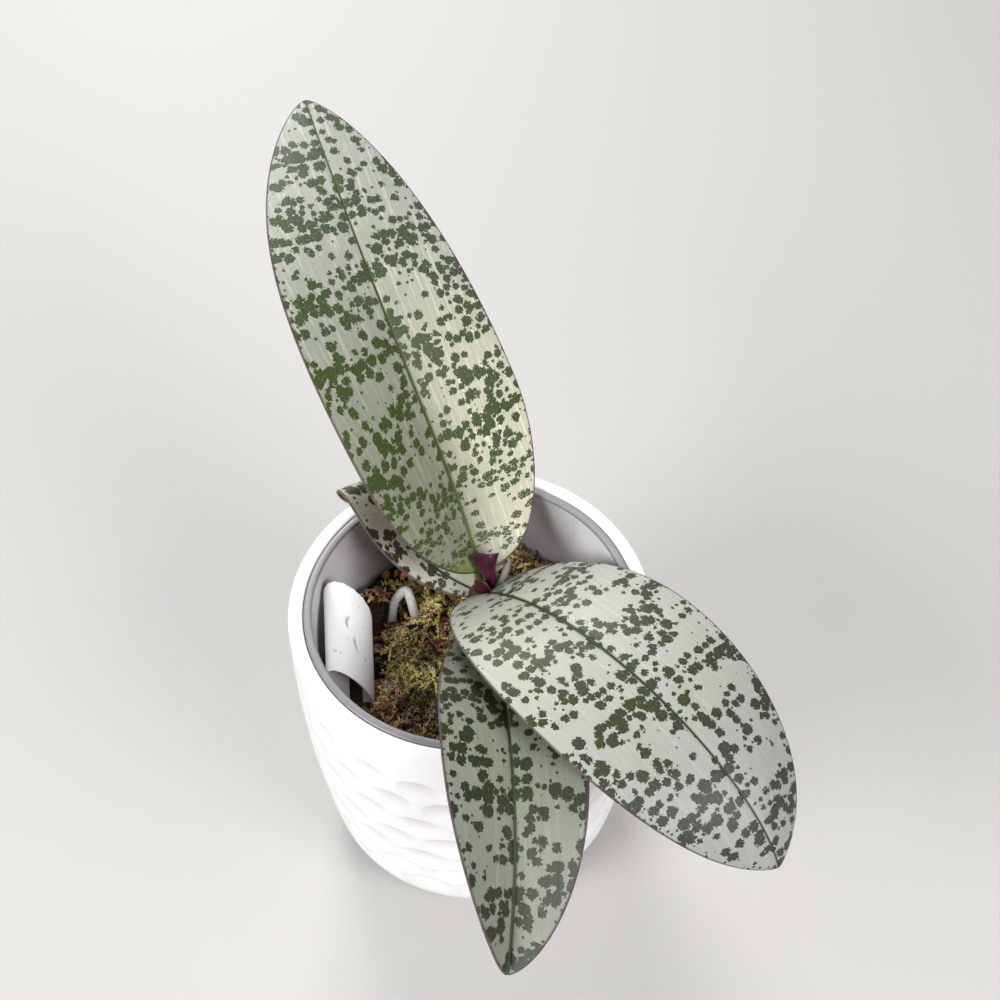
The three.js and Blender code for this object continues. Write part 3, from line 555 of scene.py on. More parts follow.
def flake(rng, centre, long, wide, thick, turn, tilt, lean):
    """Torn flake: a ring of ragged edge points with a raised middle above and below."""
    count = 9
    points = []
    for i in range(count):
        a = 2 * math.pi * i / count
        ragged = 1 + rng.uniform(-0.22, 0.22)
        points.append((long / 2 * math.cos(a) * ragged, wide / 2 * math.sin(a) * ragged,
                       rng.uniform(-0.25, 0.25) * thick))
    inner = [(p[0] * 0.62, p[1] * 0.62, p[2] + thick * rng.uniform(0.35, 0.6)) for p in points]
    below = [(p[0] * 0.6, p[1] * 0.6, p[2] - thick * rng.uniform(0.35, 0.6)) for p in points]
    points = np.array(points + inner + below + [(0, 0, thick * 0.5), (0, 0, -thick * 0.5)])
    faces = []
    for i in range(count):
        j = (i + 1) % count
        faces += [(i, j, count + j, count + i), (j, i, 2 * count + i, 2 * count + j),
                  (count + i, count + j, 3 * count), (2 * count + j, 2 * count + i, 3 * count + 1)]
    points[:, 2] += lean * (points[:, 0] ** 2) / max(long, 1)
    turned = Matrix.Rotation(turn, 3, "Z")
    turned = turned @ Matrix.Rotation(tilt[0], 3, "Y") @ Matrix.Rotation(tilt[1], 3, "X")
    return points @ np.array(turned).T + centre, faces


def loose_piece(name, parts, smooth=True):
    """One mesh from (points, faces, shade, along) parts; the shade rides in a UV map."""
    points, faces, shade = [], [], []
    start = 0
    for part_points, part_faces, part_shade, part_along in parts:
        points.append(part_points)
        for face in part_faces:
            faces.append(tuple(start + i for i in face))
            shade.extend((part_shade, part_along[i]) for i in face)
        start += len(part_points)
    piece = link_mesh(name, np.concatenate(points), faces, smooth)
    layer = piece.data.uv_layers.new(name="shade")
    layer.data.foreach_set("uv", np.array(shade, np.float32).ravel())
    return piece


chip_count = 620
chip_long, chip_wide, chip_thick = (3.4, 9.0), (1.8, 4.2), (0.7, 1.5)
chip_sink, chip_rise = -0.6, 1.6
chip_tilt = 0.45
scatter = np.random.default_rng(41)
chips = []
while len(chips) < chip_count:
    x, y = scatter.uniform(-55, 55, 2)
    long = scatter.uniform(*chip_long)
    if not clear_place(x, y, long / 2 + 0.5):
        continue
    thick = scatter.uniform(*chip_thick)
    z = float(mix_height(x, y)) + scatter.uniform(chip_sink, chip_rise)
    part, faces = flake(scatter, np.array([x, y, z]), long, scatter.uniform(*chip_wide), thick,
                        scatter.uniform(0, math.pi), scatter.normal(0, chip_tilt, 2),
                        scatter.uniform(-0.3, 0.5))
    chips.append((part, faces, scatter.random(), scatter.random(len(part))))
husk_chips = loose_piece("husk_chips", chips, False)
husk, tree = new_material("torn_husk")
place = object_place(tree)
own_shade = parts_of(tree, map_place(tree, "shade"))[0]
black_bark, brick_bark, orange_bark = (0.025, 0.01, 0.005), (0.5, 0.13, 0.05), (0.95, 0.42, 0.17)
bleached_bark, bark_crack_shade = (0.95, 0.8, 0.55), (0.03, 0.012, 0.006)
tone = mix_colour(tree, ramp_between(tree, own_shade, 0.1, 0.5), black_bark, brick_bark)
tone = mix_colour(tree, ramp_between(tree, own_shade, 0.45, 0.8), tone, orange_bark)
tone = mix_colour(tree, ramp_between(tree, own_shade, 0.93, 0.97), tone, bleached_bark)
# Partly painted shade: fine dark patches over each chip stand for its dark cracks and the shade in them.
tone, grain = patchy(tree, place, 900, 4, 0.6, 0.45, 0.7, tone, bark_crack_shade, 0.6)
finish_skin(tree, tone, ramp_between(tree, grain, 0.3, 0.7, 0.55, 0.85), grain, 0.6, 0.0006)
husk_chips.data.materials.append(husk)
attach(husk_chips, "root")

# Sphagnum: long-fibre moss, dead or half alive, in curled strands beset with tiny scale leaves.
# Olive and yellow-green strands lie left and in front of the stem, straw-coloured ones behind.
strand_long, strand_lift, strand_thick = (6, 15), (0.3, 4.2), (0.45, 0.85)
moss_step = 1.3
moss_sides = 4
scale_leaves = 5


def strand_path(rng, x, y, length, lift):
    """Wandering path over the mix, combed one way in each patch; it stops where it has no room."""
    steps = max(int(length / moss_step), 3)
    heading = 3.0 * math.sin(0.13 * x + 1.0) + 2.6 * math.cos(0.16 * y) + rng.normal(0, 0.6)
    curl = rng.normal(0, 0.22)
    rise = rng.uniform(-0.1, 0.5)
    path = []
    for k in range(steps + 1):
        z = float(mix_height(x, y)) + lift + 1.6 * math.sin(math.pi * k / steps) * rise
        path.append((x, y, z))
        heading += curl + rng.normal(0, 0.25)
        x += moss_step * math.cos(heading)
        y += moss_step * math.sin(heading)
        if not clear_place(x, y, 0.9):
            break
    return np.array(path)


def moss_strand(rng, path, thick):
    """Curled strand: a thin bent stem with short pointed leaves standing out of it."""
    points, faces, along = [], [], []
    last = len(path) - 1
    for k, p in enumerate(path):
        side, up = bend_frame(path[min(k + 1, last)] - path[max(k - 1, 0)])
        radius = thick * (1 - 0.7 * k / last)
        for i in range(moss_sides):
            a = 2 * math.pi * i / moss_sides
            points.append(p + side * radius * math.cos(a) + up * radius * math.sin(a))
            along.append(k / last)
    faces += ring_faces(len(path), moss_sides)
    faces.append(tuple(range(moss_sides))[::-1])
    faces.append(tuple(last * moss_sides + i for i in range(moss_sides)))
    for k in range(1, len(path)):
        ahead = path[k] - path[k - 1]
        side, up = bend_frame(ahead)
        ahead = ahead / np.linalg.norm(ahead)
        for turn in rng.uniform(0, 2 * math.pi, scale_leaves):
            out = side * math.cos(turn) + up * math.sin(turn)
            tip = path[k] + out * rng.uniform(1.6, 3.2) * thick + ahead * rng.uniform(0.8, 3.0) * thick
            wide = np.cross(out, ahead) * 0.75 * thick
            base = path[k] + out * thick * 0.3
            heart = base + out * 0.5 + ahead * 0.5
            n = len(points)
            points += [base - wide, base + wide, heart - wide * 0.9, heart + wide * 0.9, tip,
                       base - ahead * 0.25]
            along += [k / last] * 4 + [1.0, 0.2]
            faces += [(n, n + 1, n + 3, n + 2), (n + 2, n + 3, n + 4), (n + 1, n, n + 5), (n, n + 2, n + 5),
                      (n + 3, n + 1, n + 5), (n + 2, n + 4, n + 5), (n + 4, n + 3, n + 5)]
    return np.array(points), faces, along


def moss_bed(name, rng, count, wanted):
    strands = []
    while len(strands) < count:
        x, y = rng.uniform(-54, 54, 2)
        if rng.random() > wanted(x, y) or not clear_place(x, y, 1.2):
            continue
        length, lift, thick = [rng.uniform(*limits) for limits in (strand_long, strand_lift, strand_thick)]
        path = strand_path(rng, x, y, length, lift)
        if len(path) >= 3:
            points, faces, along = moss_strand(rng, path, thick)
            strands.append((points, faces, rng.random(), along))
    return loose_piece(name, strands)


def moss_look(name, dark, middle, light, tip):
    material, tree = new_material(name)
    place = object_place(tree)
    own_shade, along = parts_of(tree, map_place(tree, "shade"))[:2]
    tone = mix_colour(tree, ramp_between(tree, own_shade, 0.0, 0.55), dark, middle)
    tone = mix_colour(tree, ramp_between(tree, own_shade, 0.5, 1.0), tone, light)
    tone = mix_colour(tree, ramp_between(tree, along, 0.5, 1.0, 0, 0.6), tone, tip)
    tone, damp = patchy(tree, place, 70, 3, 0.5, 0.5, 0.7, tone, dark, 0.6)
    tone = patchy(tree, place, 520, 2, 0.5, 0.5, 0.66, tone, dark, 0.7)[0]
    fuzz = noise_node(tree, place, 1500)
    finish_skin(tree, tone, ramp_between(tree, damp, 0.3, 0.7, 0.75, 0.5), fuzz, 0.4, 0.0003)
    return material


olive_tufts = ((-15, 22, 120), (-12, -20, 160), (-25, -4, 90), (14, 44, 60))
straw_tufts = ((22, 34, 400), (-28, -30, 200), (-6, -36, 120), (-18, 8, 60))


def tuft_share(tufts, x, y):
    return max(math.exp(-((x - a) ** 2 + (y - b) ** 2) / spread) for a, b, spread in tufts)


def olive_share(x, y):
    return 0.04 + 0.9 * tuft_share(olive_tufts, x, y)


def straw_share(x, y):
    return 0.03 + 0.85 * tuft_share(straw_tufts, x, y)


olive_moss = moss_bed("olive_moss", np.random.default_rng(5), 360, olive_share)
olive_moss.data.materials.append(moss_look("olive_moss", (0.03, 0.026, 0.004), (0.6, 0.47, 0.08),
                                           (0.98, 0.86, 0.3), (0.98, 0.93, 0.62)))
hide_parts("moss_left", "moss_front")
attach(olive_moss, "root")
straw_moss = moss_bed("straw_moss", np.random.default_rng(6), 300, straw_share)
straw_moss.data.materials.append(moss_look("straw_moss", (0.07, 0.035, 0.015), (0.7, 0.34, 0.13),
                                           (0.98, 0.7, 0.36), (0.98, 0.88, 0.64)))
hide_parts("moss_right", "moss_back")
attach(straw_moss, "root")

# The roots: round aerial roots about 4 mm thick. They leave the short stem and dive into the mix,
# which stains them brown. One loops out of it again at the back left, in a silvery papery skin.
root_r = 2.1
root_routes = {
    "root_loop": [(1, 17, 101), (-9, 18, 95), (-18, 16, 96), (-21.5, 19, 105.5), (-24, 25.5, 109),
                  (-28.5, 24, 105), (-30, 18, 98), (-30, 14, 90)],
    "root_left": [(0.5, 11, 108), (-5, 7, 107), (-10, 3, 98), (-13, 0, 84)],
    "root_front": [(9, 7, 110), (12, 1, 109), (17, -6, 99), (20, -12, 84)],
    "root_right": [(12.5, 16, 107), (19, 18, 107), (27, 19, 98), (33, 19, 84)],
}


def through(controls, steps):
    """Smooth centripetal curve through the control points."""
    p = np.array(controls, float)
    p = np.vstack([2 * p[0] - p[1], p, 2 * p[-1] - p[-2]])
    knots = np.concatenate([[0], np.cumsum(np.linalg.norm(np.diff(p, axis=0), axis=1) ** 0.5)])
    spans = len(p) - 3
    out = []
    for n in range(steps + 1):
        t = n / steps * spans
        i = min(int(t), spans - 1)
        k = knots[i:i + 4]
        u = k[1] + (t - i) * (k[2] - k[1])
        q = p[i:i + 4]
        for step in (1, 2):
            q = [(q[m] * (k[m + step] - u) + q[m + 1] * (u - k[m])) / (k[m + step] - k[m])
                 for m in range(4 - step)]
        out.append((q[0] * (k[2] - u) + q[1] * (u - k[1])) / (k[2] - k[1]))
    return np.array(out)


def round_rod(name, path, radii, sides):
    """Round rod along a path with domed ends; radii may vary along and around it."""
    points = []
    side = None
    for k, p in enumerate(path):
        ahead = path[min(k + 1, len(path) - 1)] - path[max(k - 1, 0)]
        ahead = ahead / np.linalg.norm(ahead)
        if side is None:
            side = bend_frame(ahead)[0]
        side = side - ahead * side.dot(ahead)
        side /= np.linalg.norm(side)
        other = np.cross(ahead, side)
        for i in range(sides):
            a = 2 * math.pi * i / sides
            radius = radii[k] * (1 + 0.03 * math.sin(3 * a + k))
            points.append(p + (side * math.cos(a) + other * math.sin(a)) * radius)
    faces = ring_faces(len(path), sides)
    faces.append(tuple(range(sides))[::-1])
    faces.append(tuple((len(path) - 1) * sides + i for i in range(sides)))
    return link_mesh(name, points, faces)


def root_skin(name, dull, bright):
    material, tree = new_material(name)
    place = object_place(tree)
    root_stain = (0.25, 0.24, 0.15)
    tone, papery = patchy(tree, place, 1100, 4, 0.6, 0.3, 0.7, dull, bright)
    tone = patchy(tree, place, 160, 4, 0.6, 0.56, 0.72, tone, root_stain, 0.5)[0]
    finish_skin(tree, tone, ramp_between(tree, papery, 0.3, 0.7, 0.75, 0.55), papery, 0.5, 0.0004)
    return material


silvery_skin = root_skin("silvery_root_skin", (0.72, 0.69, 0.63), (0.96, 0.93, 0.88))
stained_skin = root_skin("stained_root_skin", (0.15, 0.12, 0.08), (0.3, 0.26, 0.18))
for root_name, route in root_routes.items():
    path = through(route, 60)
    share = np.linspace(0, 1, len(path))
    radii = root_r * (1 - 0.25 * share) * (1 + 0.05 * np.sin(share * 23))
    radii[-1] *= 0.4
    radii[-2] *= 0.8
    made_root = round_rod(root_name + "_skin", path, radii, 20)
    made_root.data.materials.append(silvery_skin if root_name == "root_loop" else stained_skin)
    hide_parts(root_name)
    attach(made_root, "root")

# The stem: a short upright stem, thicker than a pencil, hidden by the leaf bases that clasp it.
# It stands in a plain hole in the mix, sage green above, near-black maroon at the crown and brown below;
# the crown's dark maroon is partly its own colour and partly painted shade between the leaf bases.
stem_profile = np.array([(3.5, 84), (5.5, 88), (6.6, 98), (7.2, 108), (7.4, 115), (6.6, 120), (5.2, 123),
                         (2.6, 124.6)])
stem_z = np.linspace(stem_profile[0, 1], stem_profile[-1, 1], 60)
stem_r = np.interp(stem_z, stem_profile[:, 1], stem_profile[:, 0])
stem_rows = [(r * (1 - 0.02 * math.sin(z * 1.7)), z) for r, z in zip(stem_r, stem_z)]
plant_stem = turned_piece("short_stem", stem_rows, 48)
plant_stem.data.transform(Matrix.Translation((stem_x * MM, stem_y * MM, 0)))
stem_look, tree = new_material("clasped_stem")
place = object_place(tree)
height = parts_of(tree, place)[2]
stem_brown, stem_sage, stem_maroon_and_shade = (0.07, 0.035, 0.015), (0.13, 0.15, 0.1), (0.035, 0.006, 0.01)
tone = mix_colour(tree, ramp_between(tree, height, 0.104, 0.112), stem_brown, stem_sage)
# Partly painted shade: the crown is painted near-black maroon where it sits in the shade between the leaf
# bases.
tone = mix_colour(tree, ramp_between(tree, height, 0.119, 0.1215), tone, stem_maroon_and_shade)
tone, fibre = patchy(tree, place, 500, 4, 0.6, 0.45, 0.7, tone, (0.06, 0.03, 0.02), 0.4)
finish_skin(tree, tone, ramp_between(tree, fibre, 0.3, 0.7, 0.5, 0.7), fibre, 0.5, 0.0005)
plant_stem.data.materials.append(stem_look)
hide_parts("stem")
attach(plant_stem, "root")

# The plant label: a blank strip of white plastic sheet, bent over by hand into a flattened tube
# and pushed down between the liner's left wall and the mix, its near end open.
label_near = np.array([-44.9, -18.2, 108.4])
label_far = np.array([-45.6, 11.0, 119.7])
label_half = (10.4, 5.2)
label_lean = math.radians(-38.5)
label_sheet = 0.9
label_slant = (0.183, 0.194)
label_rake = (-0.067, -0.18)
label_tongue = 0.14
label_turn = (math.radians(-40), math.radians(285))
label_axis = label_far - label_near
label_across = np.array([math.cos(label_lean), 0, math.sin(label_lean)])
label_across = label_across - label_axis * label_across.dot(label_axis) / label_axis.dot(label_axis)
label_across /= np.linalg.norm(label_across)
label_out = -np.cross(label_axis / np.linalg.norm(label_axis), label_across)
if label_out[2] < 0:
    label_out = -label_out
label_columns, label_stations = 220, 120
dent_depth, dent_bow = 1.3, 0.1
dent_line, dent_long = 0.5, 2.4
dent_scale = (9.0, 34.0)
dent_places = ((1.9, 0.6, 0.15), (1.58, 0.4, -0.25))


def label_dent(a, t):
    """Two small thumbnail creases pressed into the upper face."""
    dent = np.zeros_like(a)
    for centre_a, centre_t, tilt in dent_places:
        da = (a - centre_a) * dent_scale[0]
        dt = (t - centre_t) * dent_scale[1]
        turned = da * math.cos(tilt) + dt * math.sin(tilt)
        along = -da * math.sin(tilt) + dt * math.cos(tilt)
        arc = turned + dent_bow * along ** 2
        dent += np.exp(-(arc / dent_line) ** 2) * np.exp(-(along / dent_long) ** 4)
    return dent_depth * dent


label_points = []
turn_at = np.linspace(label_turn[0], label_turn[1], label_columns)
spiral = 1 - 0.09 * np.linspace(0, 1, label_columns)
for skin in (0.0, -label_sheet):
    for t in np.linspace(0, 1, label_stations):
        ragged = 0.006 * np.sin(turn_at * 23) * np.sin(turn_at * 7.3) * max(t - 0.93, 0) / 0.07
        slant = (label_slant[0] * (1 - t) + label_slant[1] * t) * np.cos(turn_at)
        rake = (label_rake[0] * (1 - t) + label_rake[1] * t) * np.sin(turn_at)
        tongue = label_tongue * (1 - t) * np.sqrt(np.clip(-np.sin(turn_at), 0, None))
        at = t - slant - rake - tongue + ragged
        sag = -label_dent(turn_at, np.full_like(turn_at, t)) - 0.35 * np.sin(turn_at * 2.0 + 3 * t)
        x = (label_half[0] * spiral + skin) * np.cos(turn_at)
        y = (label_half[1] * spiral + skin + 0.6 * sag) * np.sin(turn_at)
        label_points.append(label_near + np.outer(at, label_axis) + np.outer(x, label_across)
                            + np.outer(y, label_out))
label_points = np.concatenate(label_points)
label_half_count = label_columns * label_stations
label_faces = []
for k in range(label_stations - 1):
    for i in range(label_columns - 1):
        a = k * label_columns + i
        b = a + label_columns
        label_faces.append((a, a + 1, b + 1, b)[::-1])
        label_faces.append((label_half_count + a, label_half_count + a + 1,
                            label_half_count + b + 1, label_half_count + b))
edge = list(range(label_columns))
edge += [k * label_columns + label_columns - 1 for k in range(1, label_stations)]
edge += [(label_stations - 1) * label_columns + i for i in range(label_columns - 2, -1, -1)]
edge += [k * label_columns for k in range(label_stations - 2, 0, -1)]
for a, b in zip(edge, edge[1:] + edge[:1]):
    label_faces.append((a, b, label_half_count + b, label_half_count + a))
plant_label = link_mesh("rolled_label", label_points, label_faces)
sheet_place = np.arange(2 * label_half_count) % label_half_count
# Share of painted crease shadow along the two thumbnail creases.
crease_shadow_share = label_dent(turn_at[sheet_place % label_columns],
                     (sheet_place // label_columns) / (label_stations - 1)) / dent_depth
inner_face = np.arange(2 * label_half_count) >= label_half_count
vertex_map(plant_label, "side", np.stack([inner_face, crease_shadow_share], 1))
label_look, tree = new_material("white_label_plastic", Subsurface_Weight=0.15, Subsurface_Scale=0.002)
place = object_place(tree)
inner, crease_shadow = parts_of(tree, map_place(tree, "side"))[:2]
label_white, label_dull, label_inside_shade = (0.97, 0.965, 0.975), (0.94, 0.935, 0.94), (0.42, 0.41, 0.405)
label_speck, label_crease_shadow = (0.35, 0.3, 0.25), (0.25, 0.25, 0.27)
tone, grime = patchy(tree, place, 300, 5, 0.7, 0.45, 0.75, label_white, label_dull)
tone = patchy(tree, place, 520, 2, 0.5, 0.7, 0.74, tone, label_speck, 0.6)[0]
# Painted shade: the inner faces of the white sheet, in shade inside the tube, are painted grey.
tone = mix_colour(tree, times(tree, inner, 0.85), tone, label_inside_shade)
# Painted shadow: the thumbnail creases are drawn as grey lines where shade falls in them.
tone = mix_colour(tree, times(tree, crease_shadow, 0.7), tone, label_crease_shadow)
finish_skin(tree, tone, ramp_between(tree, grime, 0.3, 0.7, 0.32, 0.45), grime, 0.15, 0.0003)
plant_label.data.materials.append(label_look)
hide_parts("plant_label")
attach(plant_label, "root")

# The four grown leaves: stiff leathery blades about 2 mm thick, each one a gently curled channel
# with a rounded margin and a sunken midrib. They clasp the stem with their narrowed bases.
blade_edge = 0.9
blade_mid = 2.2
groove_deep = 0.45
groove_half = 0.75
margin_round = 0.45
least_half_width = 0.7
rib_probe = 0.004
share_across = np.concatenate([[0, 0.006, 0.012, 0.02, 0.032, 0.05], np.linspace(0.075, 0.94, 25),
                               [0.962, 0.978, 0.989, 0.996, 1.0]])
share_across = np.concatenate([-share_across[:0:-1], share_across])
leaf_forms = {
    "upper_leaf": dict(
        rib=[(5.9, 17, 122.4), (-4.7, 55.6, 148.7), (-19.2, 37, 213.9), (-53.6, 152.2, 242.3)],
        heading=-0.979, half_width=40.3, start=0.029, widest=0.327, base_power=0.502, tip_power=0.623,
        neck=0.09, roll=(0.072, 0.163), channel=(0.461, -0.089), bow=(0.186, 0.284),
        collar=(0.004, 12, 0.25)),
    "right_leaf": dict(
        rib=[(4.5, 12.8, 123.4), (31.4, -13.1, 163), (86.9, -86, 161.4), (99.7, -96.3, 112)],
        heading=2.564, half_width=39.1, start=0, widest=0.424, base_power=0.471, tip_power=0.637,
        neck=0.03, roll=(0.081, -0.014), channel=(0.188, -0.062), bow=(0.261, 0.403)),
    "front_leaf": dict(
        rib=[(8.6, 8.8, 118.5), (9.9, -53.4, 152.1), (16.5, -81, 143.2), (8, -127.2, 105.6)],
        heading=3.386, half_width=25.3, start=0.038, widest=0.554, base_power=0.758, tip_power=0.693,
        neck=0.226, roll=(-0.194, 0.459), channel=(0.019, 0.593), bow=(0.232, -0.218)),
    "back_leaf": dict(
        rib=[(3.7, 17.6, 117.9), (-24.7, 29.4, 122.7), (-31, 38, 149), (-38.3, 46.1, 149.5)],
        curl=(15, 3.4, 2.4), heading=-0.81, half_width=12.9, start=0, widest=0.504, base_power=0.545,
        tip_power=0.5, neck=0.223, roll=(-0.308, -0.21), channel=(0.3, 0.02), bow=(0.2, 0.05),
        thick=1.4),
}


def rib_path(form):
    """Dense midrib points: a cubic curve, with a rolled-under tip where one is asked for."""
    p = np.array(form["rib"], float)
    t = np.linspace(0, 1, 400)[:, None]
    points = ((1 - t) ** 3 * p[0] + 3 * (1 - t) ** 2 * t * p[1] + 3 * (1 - t) * t ** 2 * p[2]
              + t ** 3 * p[3])
    if "curl" in form:
        length, first, last = form["curl"]
        ahead = (p[3] - p[2]) / np.linalg.norm(p[3] - p[2])
        side = np.array([math.cos(form["heading"]), -math.sin(form["heading"]), 0])
        rolled, here = [], p[3].copy()
        steps = 80
        for i in range(steps):
            radius = first + (last - first) * i / steps
            turn = -length / steps / radius
            ahead = (ahead * math.cos(turn) + np.cross(side, ahead) * math.sin(turn)
                     + side * side.dot(ahead) * (1 - math.cos(turn)))
            here = here + ahead * length / steps
            rolled.append(here)
        points = np.vstack([points, rolled])
    return points


def width_share(form, s):
    reached = np.clip((s - form["start"]) / (form["widest"] - form["start"]), 0, None)
    rise = np.clip(1 - (1 - reached) ** 2, 0, None)
    fall = np.clip(1 - ((s - form["widest"]) / (1 - form["widest"])) ** 2, 0, None)
    return np.where(s < form["widest"], form["neck"] + (1 - form["neck"]) * rise ** form["base_power"],
                    fall ** form["tip_power"])


def along_form(form, key, s):
    """A value of the form that changes evenly from the base of the blade to its tip."""
    first, last = form[key]
    return (first + (last - first) * s)[:, None]


def blade_frame(form, s):
    """Midrib points at the shares s of its length, their side and up directions, and the length."""
    path = rib_path(form)
    reach = np.concatenate([[0], np.cumsum(np.linalg.norm(np.diff(path, axis=0), axis=1))])
    total = reach[-1]

    def at(places):
        return np.stack([np.interp(places * total, reach, path[:, i]) for i in range(3)], -1)

    along = at(np.clip(s + rib_probe, 0, 1)) - at(np.clip(s - rib_probe, 0, 1))
    along /= np.linalg.norm(along, axis=1)[:, None]
    side = np.array([math.cos(form["heading"]), -math.sin(form["heading"]), 0])
    side = side - along * (along @ side)[:, None]
    side /= np.linalg.norm(side, axis=1)[:, None]
    up = np.cross(side, along)
    roll = -along_form(form, "roll", s)
    side, up = (side * np.cos(roll) + np.cross(along, side) * np.sin(roll),
                up * np.cos(roll) + np.cross(along, up) * np.sin(roll))
    return at(s), side, up, total


def blade_widths(form, s, total):
    """Half widths of the blade, with the collar that wraps the stem, and the slope of its edge."""
    half = np.maximum(form["half_width"] * width_share(form, s), least_half_width)[:, None]
    slope = np.gradient(half[:, 0], s * total)[:, None]
    first, climb, limit = form.get("collar", (0, 0, 0))
    wrapped = np.where(s < form["widest"], np.clip((s - first) * climb, 0, limit), 0)
    wrapped = form["half_width"] * wrapped[:, None]
    return np.where(share_across[None, :] > 0, np.maximum(half, wrapped), half), slope


def around_blade(upper, lower):
    """Values across the upper side and then back across the lower one."""
    return np.concatenate([upper, lower[:, -2:0:-1]], axis=1)


def blade_piece(name, form, rows):
    """Leaf blade as one closed skin. UV map blade holds (mm along, mm across), edge the rest."""
    u = np.linspace(0, 1, rows)
    s = 0.3 * u + 0.7 * (1 - np.cos(math.pi * u)) / 2
    here, side, up, total = blade_frame(form, s)
    widths, slope = blade_widths(form, s, total)
    v = share_across[None, :]
    share = np.abs(v)
    hand = np.sign(v)
    rise = along_form(form, "channel", s)
    bend = along_form(form, "bow", s)
    bend = np.where(np.abs(bend) < 1e-3, 1e-3, bend)
    turned = rise - bend * share
    out = widths * (np.sin(rise) - np.sin(turned)) / bend
    lift = widths * (np.cos(turned) - np.cos(rise)) / bend
    normal = up[:, None] * np.cos(turned)[..., None]
    normal = normal - side[:, None] * (hand * np.sin(turned))[..., None]
    middle = here[:, None] + side[:, None] * (hand * out)[..., None] + up[:, None] * lift[..., None]
    from_edge = widths * (1 - share) / np.sqrt(1 + slope ** 2)
    from_edge = np.minimum(from_edge, (1 - s)[:, None] * total + 0.001)
    slim = np.minimum(widths / 6, 1)
    mid = form.get("thick", blade_mid) * (0.45 + 0.55 * slim)
    thick = np.maximum(blade_edge + (mid - blade_edge) * (1 - share ** 1.5), 0.8)
    rounding = margin_round * (1 - np.sqrt(1 - (1 - np.clip(from_edge / margin_round, 0, 1)) ** 2))
    groove = groove_deep * slim * np.exp(-(v * widths / groove_half) ** 2)
    top = middle - normal * (groove + rounding)[..., None]
    low = middle - normal * (thick - rounding)[..., None]
    ring = around_blade(top, low)
    around = ring.shape[1]
    points = ring.reshape(-1, 3)
    blade_uv = np.stack([s[:, None] * total + 0 * v, v * widths], -1)
    edge_uv = np.stack([from_edge, s[:, None] + 0 * v], -1)
    faces = [f[::-1] for f in ring_faces(rows, around)]
    faces.append(tuple(range(around)))
    faces.append(tuple(range(len(points) - around, len(points)))[::-1])
    piece = link_mesh(name, points, faces)
    vertex_map(piece, "blade", around_blade(blade_uv, blade_uv).reshape(-1, 2))
    vertex_map(piece, "edge", around_blade(edge_uv, edge_uv).reshape(-1, 2))
    under = np.zeros(len(faces), np.int32)
    column = np.arange((rows - 1) * around) % around
    under[:(rows - 1) * around] = column >= len(share_across) - 1
    piece.data.materials.append(None)
    piece.data.materials.append(None)
    piece.data.polygons.foreach_set("material_index", under)
    return piece


def vector_node(tree, operation, a, b=None, result=0):
    node = tree.nodes.new("ShaderNodeVectorMath")
    node.operation = operation
    feed(tree, node.inputs[0], a)
    feed(tree, node.inputs[1], b)
    return node.outputs[result]


def join_parts(tree, x, y):
    node = tree.nodes.new("ShaderNodeCombineXYZ")
    feed(tree, node.inputs[0], x)
    feed(tree, node.inputs[1], y)
    return node.outputs[0]


def tinted(tree, tone, tint):
    return mix_colour(tree, 1.0, tone, tint, "MULTIPLY")


def toned(tree, tone, pattern, start, end, most, tint):
    """Tint a tone where a pattern is strong."""
    return mix_colour(tree, ramp_between(tree, pattern, start, end, 0, most), tone, tinted(tree, tone, tint))


# The markings of the grown leaves are pigment in the skin: dark green dots with finely lobed
# edges that run together into bands across the blade, over silver with faint lengthwise streaks
# whose pale colour is partly the skin's own and partly painted sheen.
lobed_dots, taken, given = new_group(
    "lobed_dots",
    [("Place", "Vector", None), ("Ragged", "Float", 0.0), ("Shift", "Vector", (0, 0, 0)),
     ("Pitch", "Vector", (5.0, 5.0, 1.0)), ("Squash", "Vector", (1.0, 1.0, 0.0)), ("Least", "Float", 0.8),
     ("Most", "Float", 2.2), ("Cover", "Float", 0.5), ("Banding", "Float", 2.0),
     ("Band Pitch", "Float", 13.0), ("Band Width", "Float", 34.0), ("Rough", "Float", 0.4)],
    [("Dots", "Float")])
tree, use = lobed_dots, taken.outputs
moved = vector_node(tree, "ADD", use["Place"], use["Shift"])
cells = tree.nodes.new("ShaderNodeTexVoronoi")
cells.voronoi_dimensions = "2D"
cells.inputs["Scale"].default_value = 1.0
cells.inputs["Randomness"].default_value = 0.82
tree.links.new(vector_node(tree, "DIVIDE", moved, use["Pitch"]), cells.inputs["Vector"])
centre = vector_node(tree, "MULTIPLY", cells.outputs["Position"], use["Pitch"])
away = vector_node(tree, "MULTIPLY", vector_node(tree, "SUBTRACT", moved, centre), use["Squash"])
away_length = vector_node(tree, "LENGTH", away, result="Value")
squeeze = join_parts(tree, math_node(tree, "DIVIDE", 1.0, use["Band Pitch"]),
                     math_node(tree, "DIVIDE", 1.0, use["Band Width"]))
band_place = vector_node(tree, "MULTIPLY", vector_node(tree, "SUBTRACT", centre, use["Shift"]), squeeze)
band = noise_node(tree, band_place, 1.0, 1.0)
luck = tree.nodes.new("ShaderNodeSeparateColor")
tree.links.new(cells.outputs["Color"], luck.inputs[0])
wanted = times_add(tree, math_node(tree, "SUBTRACT", band, 0.5), use["Banding"], use["Cover"])
chosen = math_node(tree, "GREATER_THAN", wanted, luck.outputs[0])
reach = times_add(tree, luck.outputs[1], 0.6, times(tree, wanted, 0.5))
reach = ramp_between(tree, reach, 0.1, 0.9, use["Least"], use["Most"])
edge = times_add(tree, use["Ragged"], use["Rough"], away_length)
inside_dot = ramp_between(tree, math_node(tree, "SUBTRACT", reach, edge), -0.07, 0.07)
tree.links.new(times(tree, chosen, inside_dot), given.inputs["Dots"])

